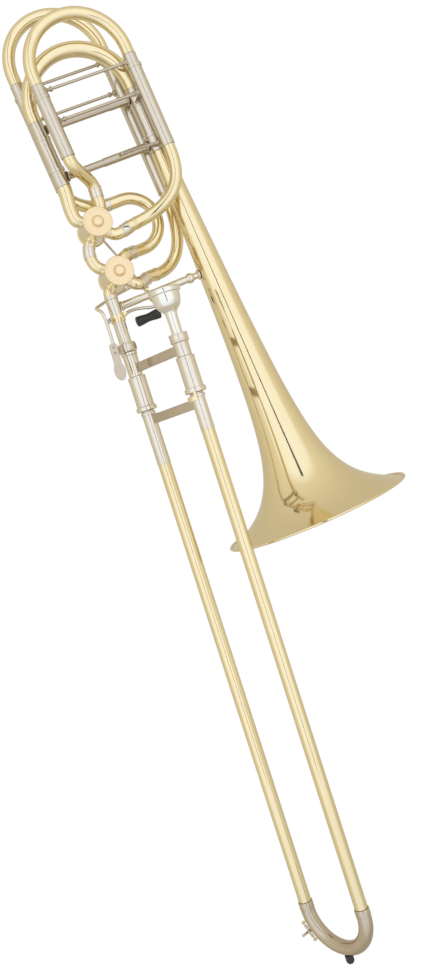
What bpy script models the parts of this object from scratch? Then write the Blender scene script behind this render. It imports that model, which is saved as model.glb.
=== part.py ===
"""Bass trombone: bell section with two rotary valves, and a hand slide with its mouthpiece.

The bell section lies in the X-Z plane, +Z up, bell mouth down, bell axis towards +X.
The hand slide has its own frame, tilted from the bell section.
Everything is placed from the left-hand grip, which is the middle of the inner slide brace.
"""
import math

import bmesh
import bpy
from mathutils import Matrix, Vector

MM = 0.001

# Bell
BELL_DIAMETER = 241.3 * MM
BELL_LENGTH = 494.0 * MM
BELL_TAIL_RADIUS = 11.5 * MM
BELL_STEM_TAPER = 0.0292
BELL_FLARE_DEPTH = 89.4 * MM
BELL_FLARE_POWER = 2.575
BELL_WALL = 0.8 * MM
BELL_BEAD_RADIUS = 1.6 * MM
BELL_SIDES = 28
BELL_RING_POWER = 2.2
BELL_RINGS = 10
BELL_OFFSET = 131.0 * MM

# Fits
SLIDING_GAP = 0.3 * MM
SEAT_GAP = 0.3 * MM
TURNING_GAP = 0.35 * MM
JOINT_DEPTH = 0.42 * MM

# Main tuning slide
MAIN_LEG_RADIUS = 8.5 * MM
MAIN_BELL_LEG_RADIUS = 10.6 * MM
TUBE_WALL = 0.6 * MM
MAIN_RECEIVER_SEAT = 0.6 * MM
MAIN_RECEIVER_LENGTH = 62.4 * MM
MAIN_FERRULE_LENGTH = 20.0 * MM
MAIN_CROOK_LEAD = 6.0 * MM
MAIN_OUTER_BOTTOM = BELL_LENGTH + MAIN_RECEIVER_SEAT
MAIN_OUTER_TOP = MAIN_OUTER_BOTTOM + MAIN_RECEIVER_LENGTH
MAIN_FERRULE_TOP = MAIN_OUTER_TOP + MAIN_FERRULE_LENGTH
MAIN_CROOK_HEIGHT = MAIN_FERRULE_TOP + MAIN_CROOK_LEAD
MAIN_RING_HEIGHT = MAIN_OUTER_BOTTOM + 0.327 * MAIN_RECEIVER_LENGTH
MAIN_BRACE_HEIGHT = MAIN_FERRULE_TOP - 0.55 * MAIN_FERRULE_LENGTH
MAIN_BRACE_RADIUS = 4.2 * MM
MAIN_BRACE_STEP = 0.76
MAIN_CROOK_STEPS = 10
FERRULE_RISE = 0.25 * MM
BODY_BRACE_HEIGHT = MAIN_OUTER_BOTTOM + MAIN_RECEIVER_LENGTH / 6
BODY_BRACE_RADIUS = 4.6 * MM
BODY_BRACE_STEP = 0.45
BRACE_RISE = 0.6 * MM
BRACE_FOOT = 1.45
BRACE_FOOT_THICKNESS = 0.5

# Valve loops: the first lies in front of the bell plane, the second behind it
LOOP_RADIUS = 7.8 * MM
LOOP_DEPTH = 24.7 * MM
FIRST_LEFT = 14.7 * MM
FIRST_RIGHT = 136.3 * MM
FIRST_CROOK_RISE = 37.0 * MM
FIRST_CROOK_HEIGHT = MAIN_CROOK_HEIGHT + FIRST_CROOK_RISE
FIRST_CROOK_LEAD = 9.7 * MM
FIRST_FERRULE_LENGTH = 13.8 * MM
FIRST_LEFT_LENGTH = 77.1 * MM
FIRST_RIGHT_LENGTH = 104.9 * MM
FIRST_JOIN = FIRST_CROOK_HEIGHT - FIRST_CROOK_LEAD
FIRST_OUTER_TOP = FIRST_JOIN - FIRST_FERRULE_LENGTH
FIRST_LEFT_BOTTOM = FIRST_OUTER_TOP - FIRST_LEFT_LENGTH
FIRST_RIGHT_BOTTOM = FIRST_OUTER_TOP - FIRST_RIGHT_LENGTH
FIRST_UPPER_ROD = FIRST_JOIN - 0.59 * FIRST_FERRULE_LENGTH
FIRST_LOWER_ROD = FIRST_OUTER_TOP - 0.428 * FIRST_LEFT_LENGTH
SECOND_LEFT = 3.2 * MM
SECOND_RIGHT = 123.3 * MM
SECOND_CROOK_RISE = 26.5 * MM
SECOND_CROOK_HEIGHT = FIRST_CROOK_HEIGHT + SECOND_CROOK_RISE
SECOND_CROOK_LEAD = 10.5 * MM
SECOND_FERRULE_LENGTH = 15.5 * MM
SECOND_LEFT_LENGTH = 123.5 * MM
SECOND_RIGHT_LENGTH = 171.5 * MM
SECOND_JOIN = SECOND_CROOK_HEIGHT - SECOND_CROOK_LEAD
SECOND_OUTER_TOP = SECOND_JOIN - SECOND_FERRULE_LENGTH
SECOND_LEFT_BOTTOM = SECOND_OUTER_TOP - SECOND_LEFT_LENGTH
SECOND_RIGHT_BOTTOM = SECOND_OUTER_TOP - SECOND_RIGHT_LENGTH
SECOND_UPPER_ROD = SECOND_JOIN - 0.55 * SECOND_FERRULE_LENGTH
SECOND_LOWER_ROD = SECOND_OUTER_TOP - 0.267 * SECOND_LEFT_LENGTH
ROD_RADIUS = 1.9 * MM
ROD_FLANGE_RADIUS = 4.4 * MM
LOOP_ROD_START = 80.6 * MM
LOOP_ROD_END_HEIGHT = FIRST_RIGHT_BOTTOM + 7.2 * MM
RING_LENGTH = 4.0 * MM
RING_RISE = 1.3 * MM
OUTER_LEG_WALL = 0.6 * MM
STUB = 2.0 * MM
CROOK_STEPS = 10

# Valves
VALVE_X = 15.4 * MM
VALVE1_DROP = 58.8 * MM
VALVE_SPACING = 63.8 * MM
VALVE1_Z = MAIN_OUTER_BOTTOM - VALVE1_DROP
VALVE2_Z = VALVE1_Z - VALVE_SPACING
CASING_RADIUS = 17.4 * MM
CASING_WALL = 1.3 * MM
CASING_FRONT = -25.6 * MM
CASING_BACK = 26.0 * MM
PORT_REACH = 20.0 * MM
PORT_RADIUS = 7.4 * MM
VALVE1_TURN = math.radians(4.3)
VALVE2_TURN = math.radians(0.0)
CAP_RADIUS = 18.1 * MM
CAP_THICKNESS = 2.4 * MM
BUTTON_RADIUS = 5.8 * MM
BUTTON_HEIGHT = 2.4 * MM
PLATE_THICKNESS = 2.5 * MM
ROTOR_HALF_LENGTH = 22.0 * MM
ROTOR_DUCT_OFFSET = 11.2 * MM
SPINDLE_RADIUS = 3.0 * MM
ARM_DEPTH = 33.0 * MM
ARM_THICKNESS = 2.4 * MM
ARM_RADIUS = 11.0 * MM
ARM_HUB_RADIUS = 5.2 * MM
ARM_PIN_RADIUS = 1.5 * MM
LINK_RADIUS = 1.5 * MM
LINK_EYE_RADIUS = 3.4 * MM
LINK_HEAD_HALF = 1.7 * MM

# Tubes from the loops to the valves: where they pass, and which way they head there
FIRST_FERRULE = Vector((34.6 * MM, 0.0, VALVE1_Z + 39.7 * MM))
FIRST_FALL = Vector((-0.14, 0.0, -0.99))
FIRST_LOWER_RING = Vector((62.0 * MM, -5.5 * MM, VALVE1_Z - 14.4 * MM))
FIRST_LOWER_WAY = Vector((-1.0, 0.4, -0.02))
SECOND_TURN_CENTRE = (66.5 * MM, VALVE1_Z - 8.8 * MM)
SECOND_TURN_RADIUS = 33.7 * MM
SECOND_TURN_LEAD = 15.0 * MM
SECOND_UPPER_WAY = Vector((-1.0, -0.35, -0.12))
SECOND_LOWER_RING = Vector((62.0 * MM, 14.0 * MM, VALVE2_Z - 14.6 * MM))
SECOND_LOWER_WAY = Vector((-1.0, -0.5, 0.02))
LONG_PULL = 1.45
PORT_PULL = 1.15
SHORT_PULL = 0.55

# Levers
THUMB_PIVOT = Vector((-17.2 * MM, -9.0 * MM, VALVE2_Z - 49.0 * MM))
THUMB_END = THUMB_PIVOT + Vector((57.2, 42.0, 34.0)) * MM
THUMB_DEPTH = -14.2 * MM
FINGER_PIVOT = Vector((6.6 * MM, 13.0 * MM, VALVE2_Z - 47.0 * MM))
FINGER_END = FINGER_PIVOT + Vector((46.4, 20.0, 23.0)) * MM
LEVER_RADIUS = 2.0 * MM
HINGE_RADIUS = 2.9 * MM
HINGE_PIN_RADIUS = 1.2 * MM
BARREL_LENGTH = 7.0 * MM
LUG_HEIGHT = 5.0 * MM
SADDLE_TOP = 33.5 * MM
SADDLE_BOTTOM = 42.5 * MM
SADDLE_WALL = 1.0 * MM
PADDLE_LENGTH = 23.0 * MM
PADDLE_WIDTH = 14.0 * MM
PADDLE_THICKNESS = 1.8 * MM
PADDLE_STEM = 34.0 * MM
PADDLE_NECK = 0.72
PADDLE_LEAN = math.radians(8.4)
PADDLE_SHIFT = Vector((-4.0, 0.0, -18.5)) * MM
THUMB_CORNER = THUMB_PIVOT + Vector((26.2, 42.0, 31.0)) * MM
THUMB_ELBOW = THUMB_PIVOT + Vector((-8.1, 9.0, 21.0)) * MM
THUMB_BESIDE = 4.2 * MM
THUMB_RISE = Vector((0.6, 0.0, 13.0)) * MM
THUMB_PASS = Vector((0.0, -1.0, 0.0)) * MM
THUMB_DROP = Vector((-4.0, 0.0, -27.0)) * MM
THUMB_TAIL = Vector((-2.6, 0.0, -16.0)) * MM
THUMB_BEND = 5.0 * MM
FINGER_CORNER = 3.4 * MM
FINGER_TOP = Vector((-3.0, -1.0, -11.0)) * MM
FINGER_FALL = Vector((-2.6, 0.0, 9.5)) * MM
FINGER_BEND = 4.0 * MM
FINGER_ROD_RADIUS = 1.8 * MM
FINGER_BAR = (
    Vector((1.7, 0.0, 0.3)) * MM, Vector((9.0, 2.5, 2.4)) * MM, Vector((18.0, 5.5, 2.6)) * MM,
    Vector((28.0, 8.0, 0.8)) * MM, Vector((38.0, 9.0, -2.4)) * MM,
)
BARREL_HOLE_REACH = 8.0 * MM
LUG_SPLIT = 0.2 * MM
LUG_PIN_SHORT = 1.0 * MM
ROLLER_LENGTH = 32.0 * MM
ROLLER_RADIUS = 6.4 * MM
ROLLER_WAIST = 5.2 * MM
ROLLER_EDGE = 1.0 * MM
ROLLER_CENTRE = FINGER_PIVOT + Vector((30.4, 9.0, -13.0)) * MM

# Neck and bell brace
NECK_RADIUS = 7.8 * MM
NECK_TOP = 14.0 * MM
NUT_TOP = 69.5 * MM
NUT_LENGTH = 11.5 * MM
NUT_RADIUS = 12.0 * MM
NUT_EDGE = 1.2 * MM
SOCKET_COLLAR = 4.0 * MM
SOCKET_COLLAR_RADIUS = 10.2 * MM
SOCKET_RADIUS = 9.2 * MM
BELL_BRACE_DROP = 37.0 * MM
BELL_BRACE_HEIGHT = VALVE2_Z - BELL_BRACE_DROP
BELL_BRACE_RADIUS = 4.6 * MM
BELL_BRACE_BALL_AT = 13.0 * MM
BELL_BRACE_STEP = 26.0 * MM
BELL_BRACE_FOOT = 2.2 * MM
BELL_BRACE_CONE = 1.0 * MM

# Hand slide
SLIDE_TOP = Vector((-0.5 * MM, 0.0, VALVE2_Z - 12.0 * MM))
SLIDE_TILT = 0.109
SLIDE_TURN = 1.064
SLANT = 1 / math.cos(SLIDE_TILT)
SLIDE_SPACING = 93.4 * MM
SLIDE_BORE = 14.27 * MM
INNER_WALL = 0.3 * MM
OUTER_WALL = 0.35 * MM
BARREL_TOP = 112.0 * MM
BARREL_BOTTOM = 156.0 * MM
BARREL_RADIUS = 11.2 * MM
BARREL_RING_RADIUS = 12.9 * MM
BARREL_WALL = 0.9 * MM
BARREL_RING_LENGTH = 6.0 * MM
BARREL_LIP = 3.0 * MM
OUTER_TOP = 124.0 * MM
OUTER_BOTTOM = 799.0 * MM
INNER_SHORTER = 27.0 * MM
INNER_BOTTOM = OUTER_BOTTOM - INNER_SHORTER
INNER_BRACE_AT = 102.5 * MM
OUTER_BRACE_AT = 168.5 * MM
BRACE_HEIGHT = 11.3 * MM
BRACE_DEPTH = 6.0 * MM
BRACE_EDGE = 1.0 * MM
SLEEVE_TOP = 158.0 * MM
SLEEVE_RING_RISE = 1.0 * MM
SLEEVE_WALL = 0.25 * MM
SLEEVE_COLLAR = 4.0 * MM
BOW_WALL = 0.8 * MM
SLEEVE_LEFT_END = 224.0 * MM
SLEEVE_RIGHT_END = 201.0 * MM
BOW_RADIUS = 8.9 * MM
BOW_FERRULE = 10.0 * MM
BOW_AT = OUTER_BOTTOM + BOW_FERRULE
BOW_OVERLAP = 1.0 * MM
FERRULE_RADIUS = 9.2 * MM
BUMPER_RADIUS = 5.2 * MM
BUMPER_LENGTH = 11.0 * MM

# Mouthpiece
RIM_AT = 29.5 * MM
MOUTHPIECE_OUTSIDE = (
    (16.4, 0.0), (18.6, 0.5), (19.4, 2.0), (19.4, 6.5), (17.2, 7.1), (16.6, 13.0), (15.4, 19.0),
    (12.4, 24.0), (8.3, 28.0), (7.1, 31.5), (6.8, 37.0),
)
MOUTHPIECE_INSIDE = ((3.6, 31.0), (4.6, 24.5), (10.2, 18.0), (12.6, 11.0), (13.4, 4.0), (14.4, 0.6))
SHANK_RADIUS = 6.5 * MM
SHANK_TIP_RADIUS = 6.0 * MM
SHANK_WALL = 1.2 * MM
SHANK_END = 106.0 * MM
RECEIVER_TOP = 84.5 * MM
RECEIVER_RADIUS = 11.4 * MM
RECEIVER_TUBE_RADIUS = 9.3 * MM
RECEIVER_CONE_END = 8.6 * MM
RECEIVER_COLLAR = 10.0 * MM
RECEIVER_CONE = 2.5 * MM

# Slide lock and water key
LOCK_THICKNESS = 2.2 * MM
LOCK_HEIGHT = 5.0 * MM
LOCK_TAB = Vector((3.0, 3.0, 21.0)) * MM
LOCK_ANGLE = math.radians(-52)
KEY_ANGLE = math.radians(29.5)
KEY_HINGE_REACH = 18.8 * MM
KEY_ROUND = 3.0 * MM
KEY_CUP_RIM = 0.4 * MM
KEY_PIN_RADIUS = 0.9 * MM
KEY_POST_AT = 12.0 * MM
KEY_BALL_RADIUS = 2.3 * MM
KEY_BAR = Vector((1.3, 4.6, 0.0)) * MM
KEY_BARREL_HALF = 2.6 * MM
KEY_BARREL_WALL = 1.1 * MM
KEY_ROD_RADIUS = 1.5 * MM
KEY_FINGER = Vector((4.0, 10.0, 0.0)) * MM
NIPPLE_SIDE = math.radians(50)
CUP_PLATE = 1.5 * MM
NIPPLE_HEIGHT = 3.2 * MM
CORK_RADIUS = 3.7 * MM
CORK_HEIGHT = 2.6 * MM
SPRING_WIRE = 0.6 * MM
SPRING_COIL = 1.9 * MM
SPRING_TURNS = 3

TUBE_SIDES = 12
MAIN_SIDES = 12
BENT_SIDES = 10
VALVE_SIDES = 20
CUP_SIDES = 16
NECK_SIDES = 14
SHORT_SIDES = 12
HOLE_SIDES = 10


def clear_scene():
    for obj in list(bpy.data.objects):
        bpy.data.objects.remove(obj, do_unlink=True)


def material(name, colour, metallic, roughness):
    made = bpy.data.materials.new(name)
    made.use_nodes = True
    shader = made.node_tree.nodes["Principled BSDF"]
    shader.inputs["Base Color"].default_value = (*colour, 1.0)
    shader.inputs["Metallic"].default_value = metallic
    shader.inputs["Roughness"].default_value = roughness
    return made


clear_scene()
TROMBONE = bpy.data.collections.new("BassTrombone")
CUTTERS = bpy.data.collections.new("Cutters")
CUTTERS.hide_render = True
for group in (TROMBONE, CUTTERS):
    bpy.context.scene.collection.children.link(group)

FINISHES = {
    "brass": ((0.80, 0.60, 0.28), 1.0, 0.15),
    "nickel": ((0.72, 0.68, 0.62), 1.0, 0.18),
    "silver": ((0.92, 0.91, 0.90), 1.0, 0.08),
    "satin": ((0.90, 0.74, 0.52), 1.0, 0.45),
    "rubber": ((0.02, 0.018, 0.017), 0.0, 0.6),
    "steel": ((0.55, 0.55, 0.56), 1.0, 0.3),
}


def slide_frame():
    up = Vector((math.sin(SLIDE_TILT), 0.0, math.cos(SLIDE_TILT)))
    across = Vector((math.cos(SLIDE_TURN), -math.sin(SLIDE_TURN), 0.0))
    across = (across - up * across.dot(up)).normalized()
    behind = up.cross(across)
    turned = Matrix((across, behind, up)).transposed().to_4x4()
    return Matrix.Translation(SLIDE_TOP) @ turned


SLIDE_LOCAL = slide_frame()
GRIP = SLIDE_LOCAL @ Vector((SLIDE_SPACING / 2, 0.0, -INNER_BRACE_AT))
BELL_FRAME = Matrix.Translation(-GRIP)
SLIDE_FRAME = BELL_FRAME @ SLIDE_LOCAL


def place(name, mesh, finish, frame, collection=None):
    """Makes one object from a mesh, with a Principled material of its own, at a frame."""
    obj = bpy.data.objects.new(name, mesh)
    (collection or TROMBONE).objects.link(obj)
    obj.matrix_world = frame
    if finish:
        mesh.materials.clear()
        mesh.materials.append(material(name + "_finish", *FINISHES[finish]))
    return obj


def hide(obj):
    obj.hide_render = True
    obj.display_type = "WIRE"
    return obj


def outline_mesh(name, points, closed):
    mesh = bpy.data.meshes.new(name)
    edges = [(i, i + 1) for i in range(len(points) - 1)]
    if closed:
        edges.append((len(points) - 1, 0))
    mesh.from_pydata([(r, 0.0, z) for r, z in points], edges, [])
    return mesh


def turned(name, points, sides, finish, frame, closed=True, collection=None):
    """Turns a profile of (radius, height) about local Z. A closed profile makes a ring or a tube."""
    obj = place(name, outline_mesh(name, points, closed), finish, frame, collection)
    screw = obj.modifiers.new("Turn", "SCREW")
    screw.axis = "Z"
    screw.angle = math.tau
    screw.steps = sides
    screw.render_steps = sides
    screw.use_merge_vertices = True
    screw.merge_threshold = 0.00005
    screw.use_smooth_shade = True
    screw.use_normal_calculate = False
    return obj


def curve_mesh(name, path, radius, radii, sides, capped, cyclic=False):
    curve = bpy.data.curves.new(name, "CURVE")
    curve.dimensions = "3D"
    curve.bevel_mode = "ROUND"
    curve.bevel_depth = radius
    curve.bevel_resolution = (sides - 4) // 2
    curve.use_fill_caps = capped
    spline = curve.splines.new("POLY")
    spline.points.add(len(path) - 1)
    for i, (point, at) in enumerate(zip(spline.points, path)):
        point.co = (*at, 1.0)
        point.radius = radii[i] / radius if radii else 1.0
    spline.use_cyclic_u = cyclic
    holder = bpy.data.objects.new(name + "_path", curve)
    bpy.context.scene.collection.objects.link(holder)
    mesh = bpy.data.meshes.new_from_object(holder)
    bpy.data.objects.remove(holder, do_unlink=True)
    bpy.data.curves.remove(curve)
    mesh.name = name
    weld(mesh)
    mesh.shade_smooth()
    return mesh


def weld(mesh):
    work = bmesh.new()
    work.from_mesh(mesh)
    bmesh.ops.remove_doubles(work, verts=work.verts, dist=0.00002)
    work.to_mesh(mesh)
    work.free()


def pipe(name, path, radius, wall, finish, frame=None, sides=TUBE_SIDES, radii=None):
    """A hollow tube along a path, open at both ends."""
    mesh = curve_mesh(name, path, radius, radii, sides, False)
    obj = place(name, mesh, finish, frame or BELL_FRAME)
    shell = obj.modifiers.new("Wall", "SOLIDIFY")
    shell.thickness = wall
    shell.offset = -1.0
    shell.use_even_offset = True
    shell.use_rim = True
    return obj


def rod(name, path, radius, finish, frame=None, sides=8, radii=None, collection=None):
    """A solid round rod along a path."""
    mesh = curve_mesh(name, path, radius, radii, sides, True)
    return place(name, mesh, finish, frame or BELL_FRAME, collection)


def bend(start, leave, end, arrive, steps, pull=1.0):
    """A smooth path that leaves start and reaches end along the given directions, straight at both."""
    leave, arrive = Vector(leave).normalized(), Vector(arrive).normalized()
    first, last = Vector(start), Vector(end)
    start, end = first + leave * STUB, last - arrive * STUB
    reach = (end - start).length * pull
    path = [first]
    for i in range(steps + 1):
        t = i / steps
        a = 2 * t**3 - 3 * t**2 + 1
        b = t**3 - 2 * t**2 + t
        c = -2 * t**3 + 3 * t**2
        d = t**3 - t**2
        path.append(start * a + leave * (b * reach) + end * c + arrive * (d * reach))
    return path + [last]


def arc(centre, radius, start, sweep, steps, depth=0.0):
    """Points of an arc in the X-Z plane, angles from +X towards +Z."""
    return [
        Vector(
            (
                centre[0] + radius * math.cos(start + sweep * i / steps),
                depth,
                centre[1] + radius * math.sin(start + sweep * i / steps),
            )
        )
        for i in range(steps + 1)
    ]


def at(x, y, z):
    return BELL_FRAME @ Matrix.Translation((x, y, z))


def along_x(x, y, z):
    """A frame whose local Z runs along +X."""
    return at(x, y, z) @ Matrix.Rotation(math.radians(90), 4, "Y")


def along_y(x, y, z):
    """A frame whose local Z runs along -Y, towards the front."""
    return at(x, y, z) @ Matrix.Rotation(math.radians(90), 4, "X")


def between(start, end):
    """A frame at start whose local Z runs to end."""
    way = Vector(end) - Vector(start)
    return BELL_FRAME @ Matrix.Translation(start) @ way.to_track_quat("Z", "Y").to_matrix().to_4x4()


def smooth_radii(first, last, count):
    return [first + (last - first) * i / (count - 1) for i in range(count)]


def boolean(obj, cutter, operation):
    made = obj.modifiers.new(operation.title(), "BOOLEAN")
    made.operation = operation
    made.solver = "EXACT"
    made.object = cutter


def bell_radius(height):
    """Outer radius of the bell at a height over its rim."""

    def flare(z):
        return (BELL_FLARE_DEPTH / (z + BELL_FLARE_DEPTH)) ** BELL_FLARE_POWER

    rest = flare(BELL_LENGTH)
    span = BELL_DIAMETER / 2 - BELL_TAIL_RADIUS - BELL_STEM_TAPER * BELL_LENGTH
    widen = span / (1 - rest)
    taper = BELL_STEM_TAPER * (BELL_LENGTH - height)
    return BELL_TAIL_RADIUS + taper + widen * (flare(height) - rest)


def make_bell():
    outer = []
    for i in range(BELL_RINGS + 1):
        z = BELL_LENGTH * (1 - i / BELL_RINGS) ** BELL_RING_POWER
        outer.append((bell_radius(z), z))
    inner = [(r - BELL_WALL, z) for r, z in reversed(outer)]
    rim = BELL_DIAMETER / 2
    bead = BELL_BEAD_RADIUS
    outer[-1] = (rim, bead)
    inner[0] = (rim - 2 * bead, bead)
    fold = [(rim - 0.3 * bead, 0.2 * bead), (rim - 1.7 * bead, 0.2 * bead)]
    return turned("bell", outer + fold + inner, BELL_SIDES, "brass", at(BELL_OFFSET, 0, 0))


def straight_leg(name, x, y, bottom, top, radius, wall, finish, sides, rings=(), collection=None):
    """A straight tube up from bottom to top, with raised rings given as (low, high, rise)."""
    outer = [(radius, top)]
    for low, high, rise in sorted(rings, key=lambda ring: -ring[0]):
        if high >= top:
            outer[-1] = (radius + rise, top)
        else:
            outer += [(radius, high), (radius + rise, high)]
        outer.append((radius + rise, max(low, bottom)))
        if low > bottom:
            outer.append((radius, low))
    if outer[-1][1] > bottom:
        outer.append((radius, bottom))
    profile = [(r, z - bottom) for r, z in outer]
    profile += [(radius - wall, 0.0), (radius - wall, top - bottom)]
    return turned(name, profile, sides, finish, at(x, y, bottom), collection=collection)


def round_brace(name, x0, x1, y, z, radius, finish, step=None, rise=0.0, frame=None, sides=12):
    """A round brace along X with a foot at each end, and a thicker sleeve past its step."""
    length = x1 - x0
    foot = radius * BRACE_FOOT
    thick = radius * BRACE_FOOT_THICKNESS
    last = radius + rise
    profile = [(0.0, length), (foot, length), (foot, length - thick), (last, length - thick)]
    if step:
        profile += [(last, length * step), (radius, length * step)]
    profile += [(radius, thick), (foot, thick), (foot, 0.0), (0.0, 0.0)]
    return turned(name, profile, sides, finish, frame or along_x(x0, y, z), closed=False)


def make_main_slide():
    left = MAIN_LEG_RADIUS
    right = MAIN_BELL_LEG_RADIUS
    half = BELL_OFFSET / 2
    path = [Vector((0, 0, MAIN_FERRULE_TOP + SEAT_GAP))]
    path += arc((half, MAIN_CROOK_HEIGHT), half, math.pi, -math.pi, MAIN_CROOK_STEPS)
    path += [Vector((BELL_OFFSET, 0, MAIN_FERRULE_TOP + SEAT_GAP))]
    grow = smooth_radii(left, right, len(path))
    pipe("main_slide_crook", path, left, TUBE_WALL, "brass", sides=MAIN_SIDES, radii=grow)
    shell = SLIDING_GAP / math.cos(math.pi / MAIN_SIDES) + OUTER_LEG_WALL
    for name, x, radius in (("neck", 0.0, left), ("bell", BELL_OFFSET, right)):
        ferrule = (MAIN_OUTER_TOP + SEAT_GAP, MAIN_FERRULE_TOP, FERRULE_RISE)
        straight_leg(
            f"main_slide_{name}_leg", x, 0, MAIN_OUTER_BOTTOM + RING_LENGTH, MAIN_FERRULE_TOP,
            radius, TUBE_WALL, "nickel", MAIN_SIDES, rings=(ferrule,),
        )
        rings = (
            (MAIN_RING_HEIGHT - RING_LENGTH / 2, MAIN_RING_HEIGHT + RING_LENGTH / 2, RING_RISE),
            (MAIN_OUTER_TOP - RING_LENGTH / 2, MAIN_OUTER_TOP, 0.5 * RING_RISE),
        )
        straight_leg(
            f"main_receiver_{name}_leg", x, 0, MAIN_OUTER_BOTTOM, MAIN_OUTER_TOP,
            radius + shell, OUTER_LEG_WALL, "nickel", MAIN_SIDES, rings=rings,
        )
    inset = FERRULE_RISE + SEAT_GAP
    round_brace(
        "main_slide_brace", left + inset, BELL_OFFSET - right - inset, 0, MAIN_BRACE_HEIGHT,
        MAIN_BRACE_RADIUS, "nickel", step=MAIN_BRACE_STEP, rise=BRACE_RISE,
    )
    round_brace(
        "body_brace", left + shell + SEAT_GAP, BELL_OFFSET - right - shell - SEAT_GAP, 0,
        BODY_BRACE_HEIGHT, BODY_BRACE_RADIUS, "nickel", step=BODY_BRACE_STEP, rise=BRACE_RISE,
    )


def make_loop(prefix, left, right, depth, crook, join, outer_top, bottoms, rods):
    """One valve loop: its crook and inner legs, which pull out, and its fixed outer legs."""
    radius = LOOP_RADIUS
    half = (right - left) / 2
    path = [Vector((left, depth, join + SEAT_GAP))]
    path += arc((left + half, crook), half, math.pi, -math.pi, CROOK_STEPS, depth)
    path += [Vector((right, depth, join + SEAT_GAP))]
    pipe(f"{prefix}_slide_crook", path, radius, TUBE_WALL, "brass")
    outer = radius + SLIDING_GAP / math.cos(math.pi / TUBE_SIDES) + OUTER_LEG_WALL
    ring = (outer_top - RING_LENGTH, outer_top, RING_RISE * 0.7)
    for part, top, size, wall, rings, height, lift in (
        ("slide", join, radius, TUBE_WALL, (), rods[0], RING_LENGTH),
        ("receiver", outer_top, outer, OUTER_LEG_WALL, (ring,), rods[1], 0.0),
    ):
        legs = [
            straight_leg(name, x, depth, bottom + lift, top, size, wall, finish, TUBE_SIDES, rings,
                         collection=group)
            for name, x, bottom, finish, group in (
                (f"{prefix}_{part}_legs", left, bottoms[0], "nickel", TROMBONE),
                (f"{prefix}_{part}_right_leg", right, bottoms[1], None, CUTTERS),
            )
        ]
        reach = size - JOINT_DEPTH
        brace = thin_brace(f"{prefix}_{part}_brace", (left + reach, depth, height),
                           (right - reach, depth, height), None)
        joined(legs[0], brace)
        joined(legs[0], legs[1])
    return outer


def thin_brace(name, start, end, finish="nickel"):
    """A thin rod with a round foot at each end. Without a finish it is a helper for a join."""
    length = (Vector(end) - Vector(start)).length
    foot = ROD_FLANGE_RADIUS
    cone = foot * 0.9
    profile = [
        (0.0, length), (foot, length), (foot * 0.8, length - cone * 0.5), (ROD_RADIUS, length - cone),
        (ROD_RADIUS, cone), (foot * 0.8, cone * 0.5), (foot, 0.0), (0.0, 0.0),
    ]
    group = TROMBONE if finish else CUTTERS
    return turned(name, profile, HOLE_SIDES, finish, between(start, end), closed=False, collection=group)


def valve_port(height, turn, quarter):
    """Where a casing's port ends, and its outward direction. Quarter 0 is upper right, 1 upper left."""
    angle = math.radians(45) + turn + quarter * math.radians(90)
    out = Vector((math.cos(angle), 0.0, math.sin(angle)))
    return Vector((VALVE_X, 0.0, height)) + out * (PORT_REACH + SEAT_GAP), out


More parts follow.
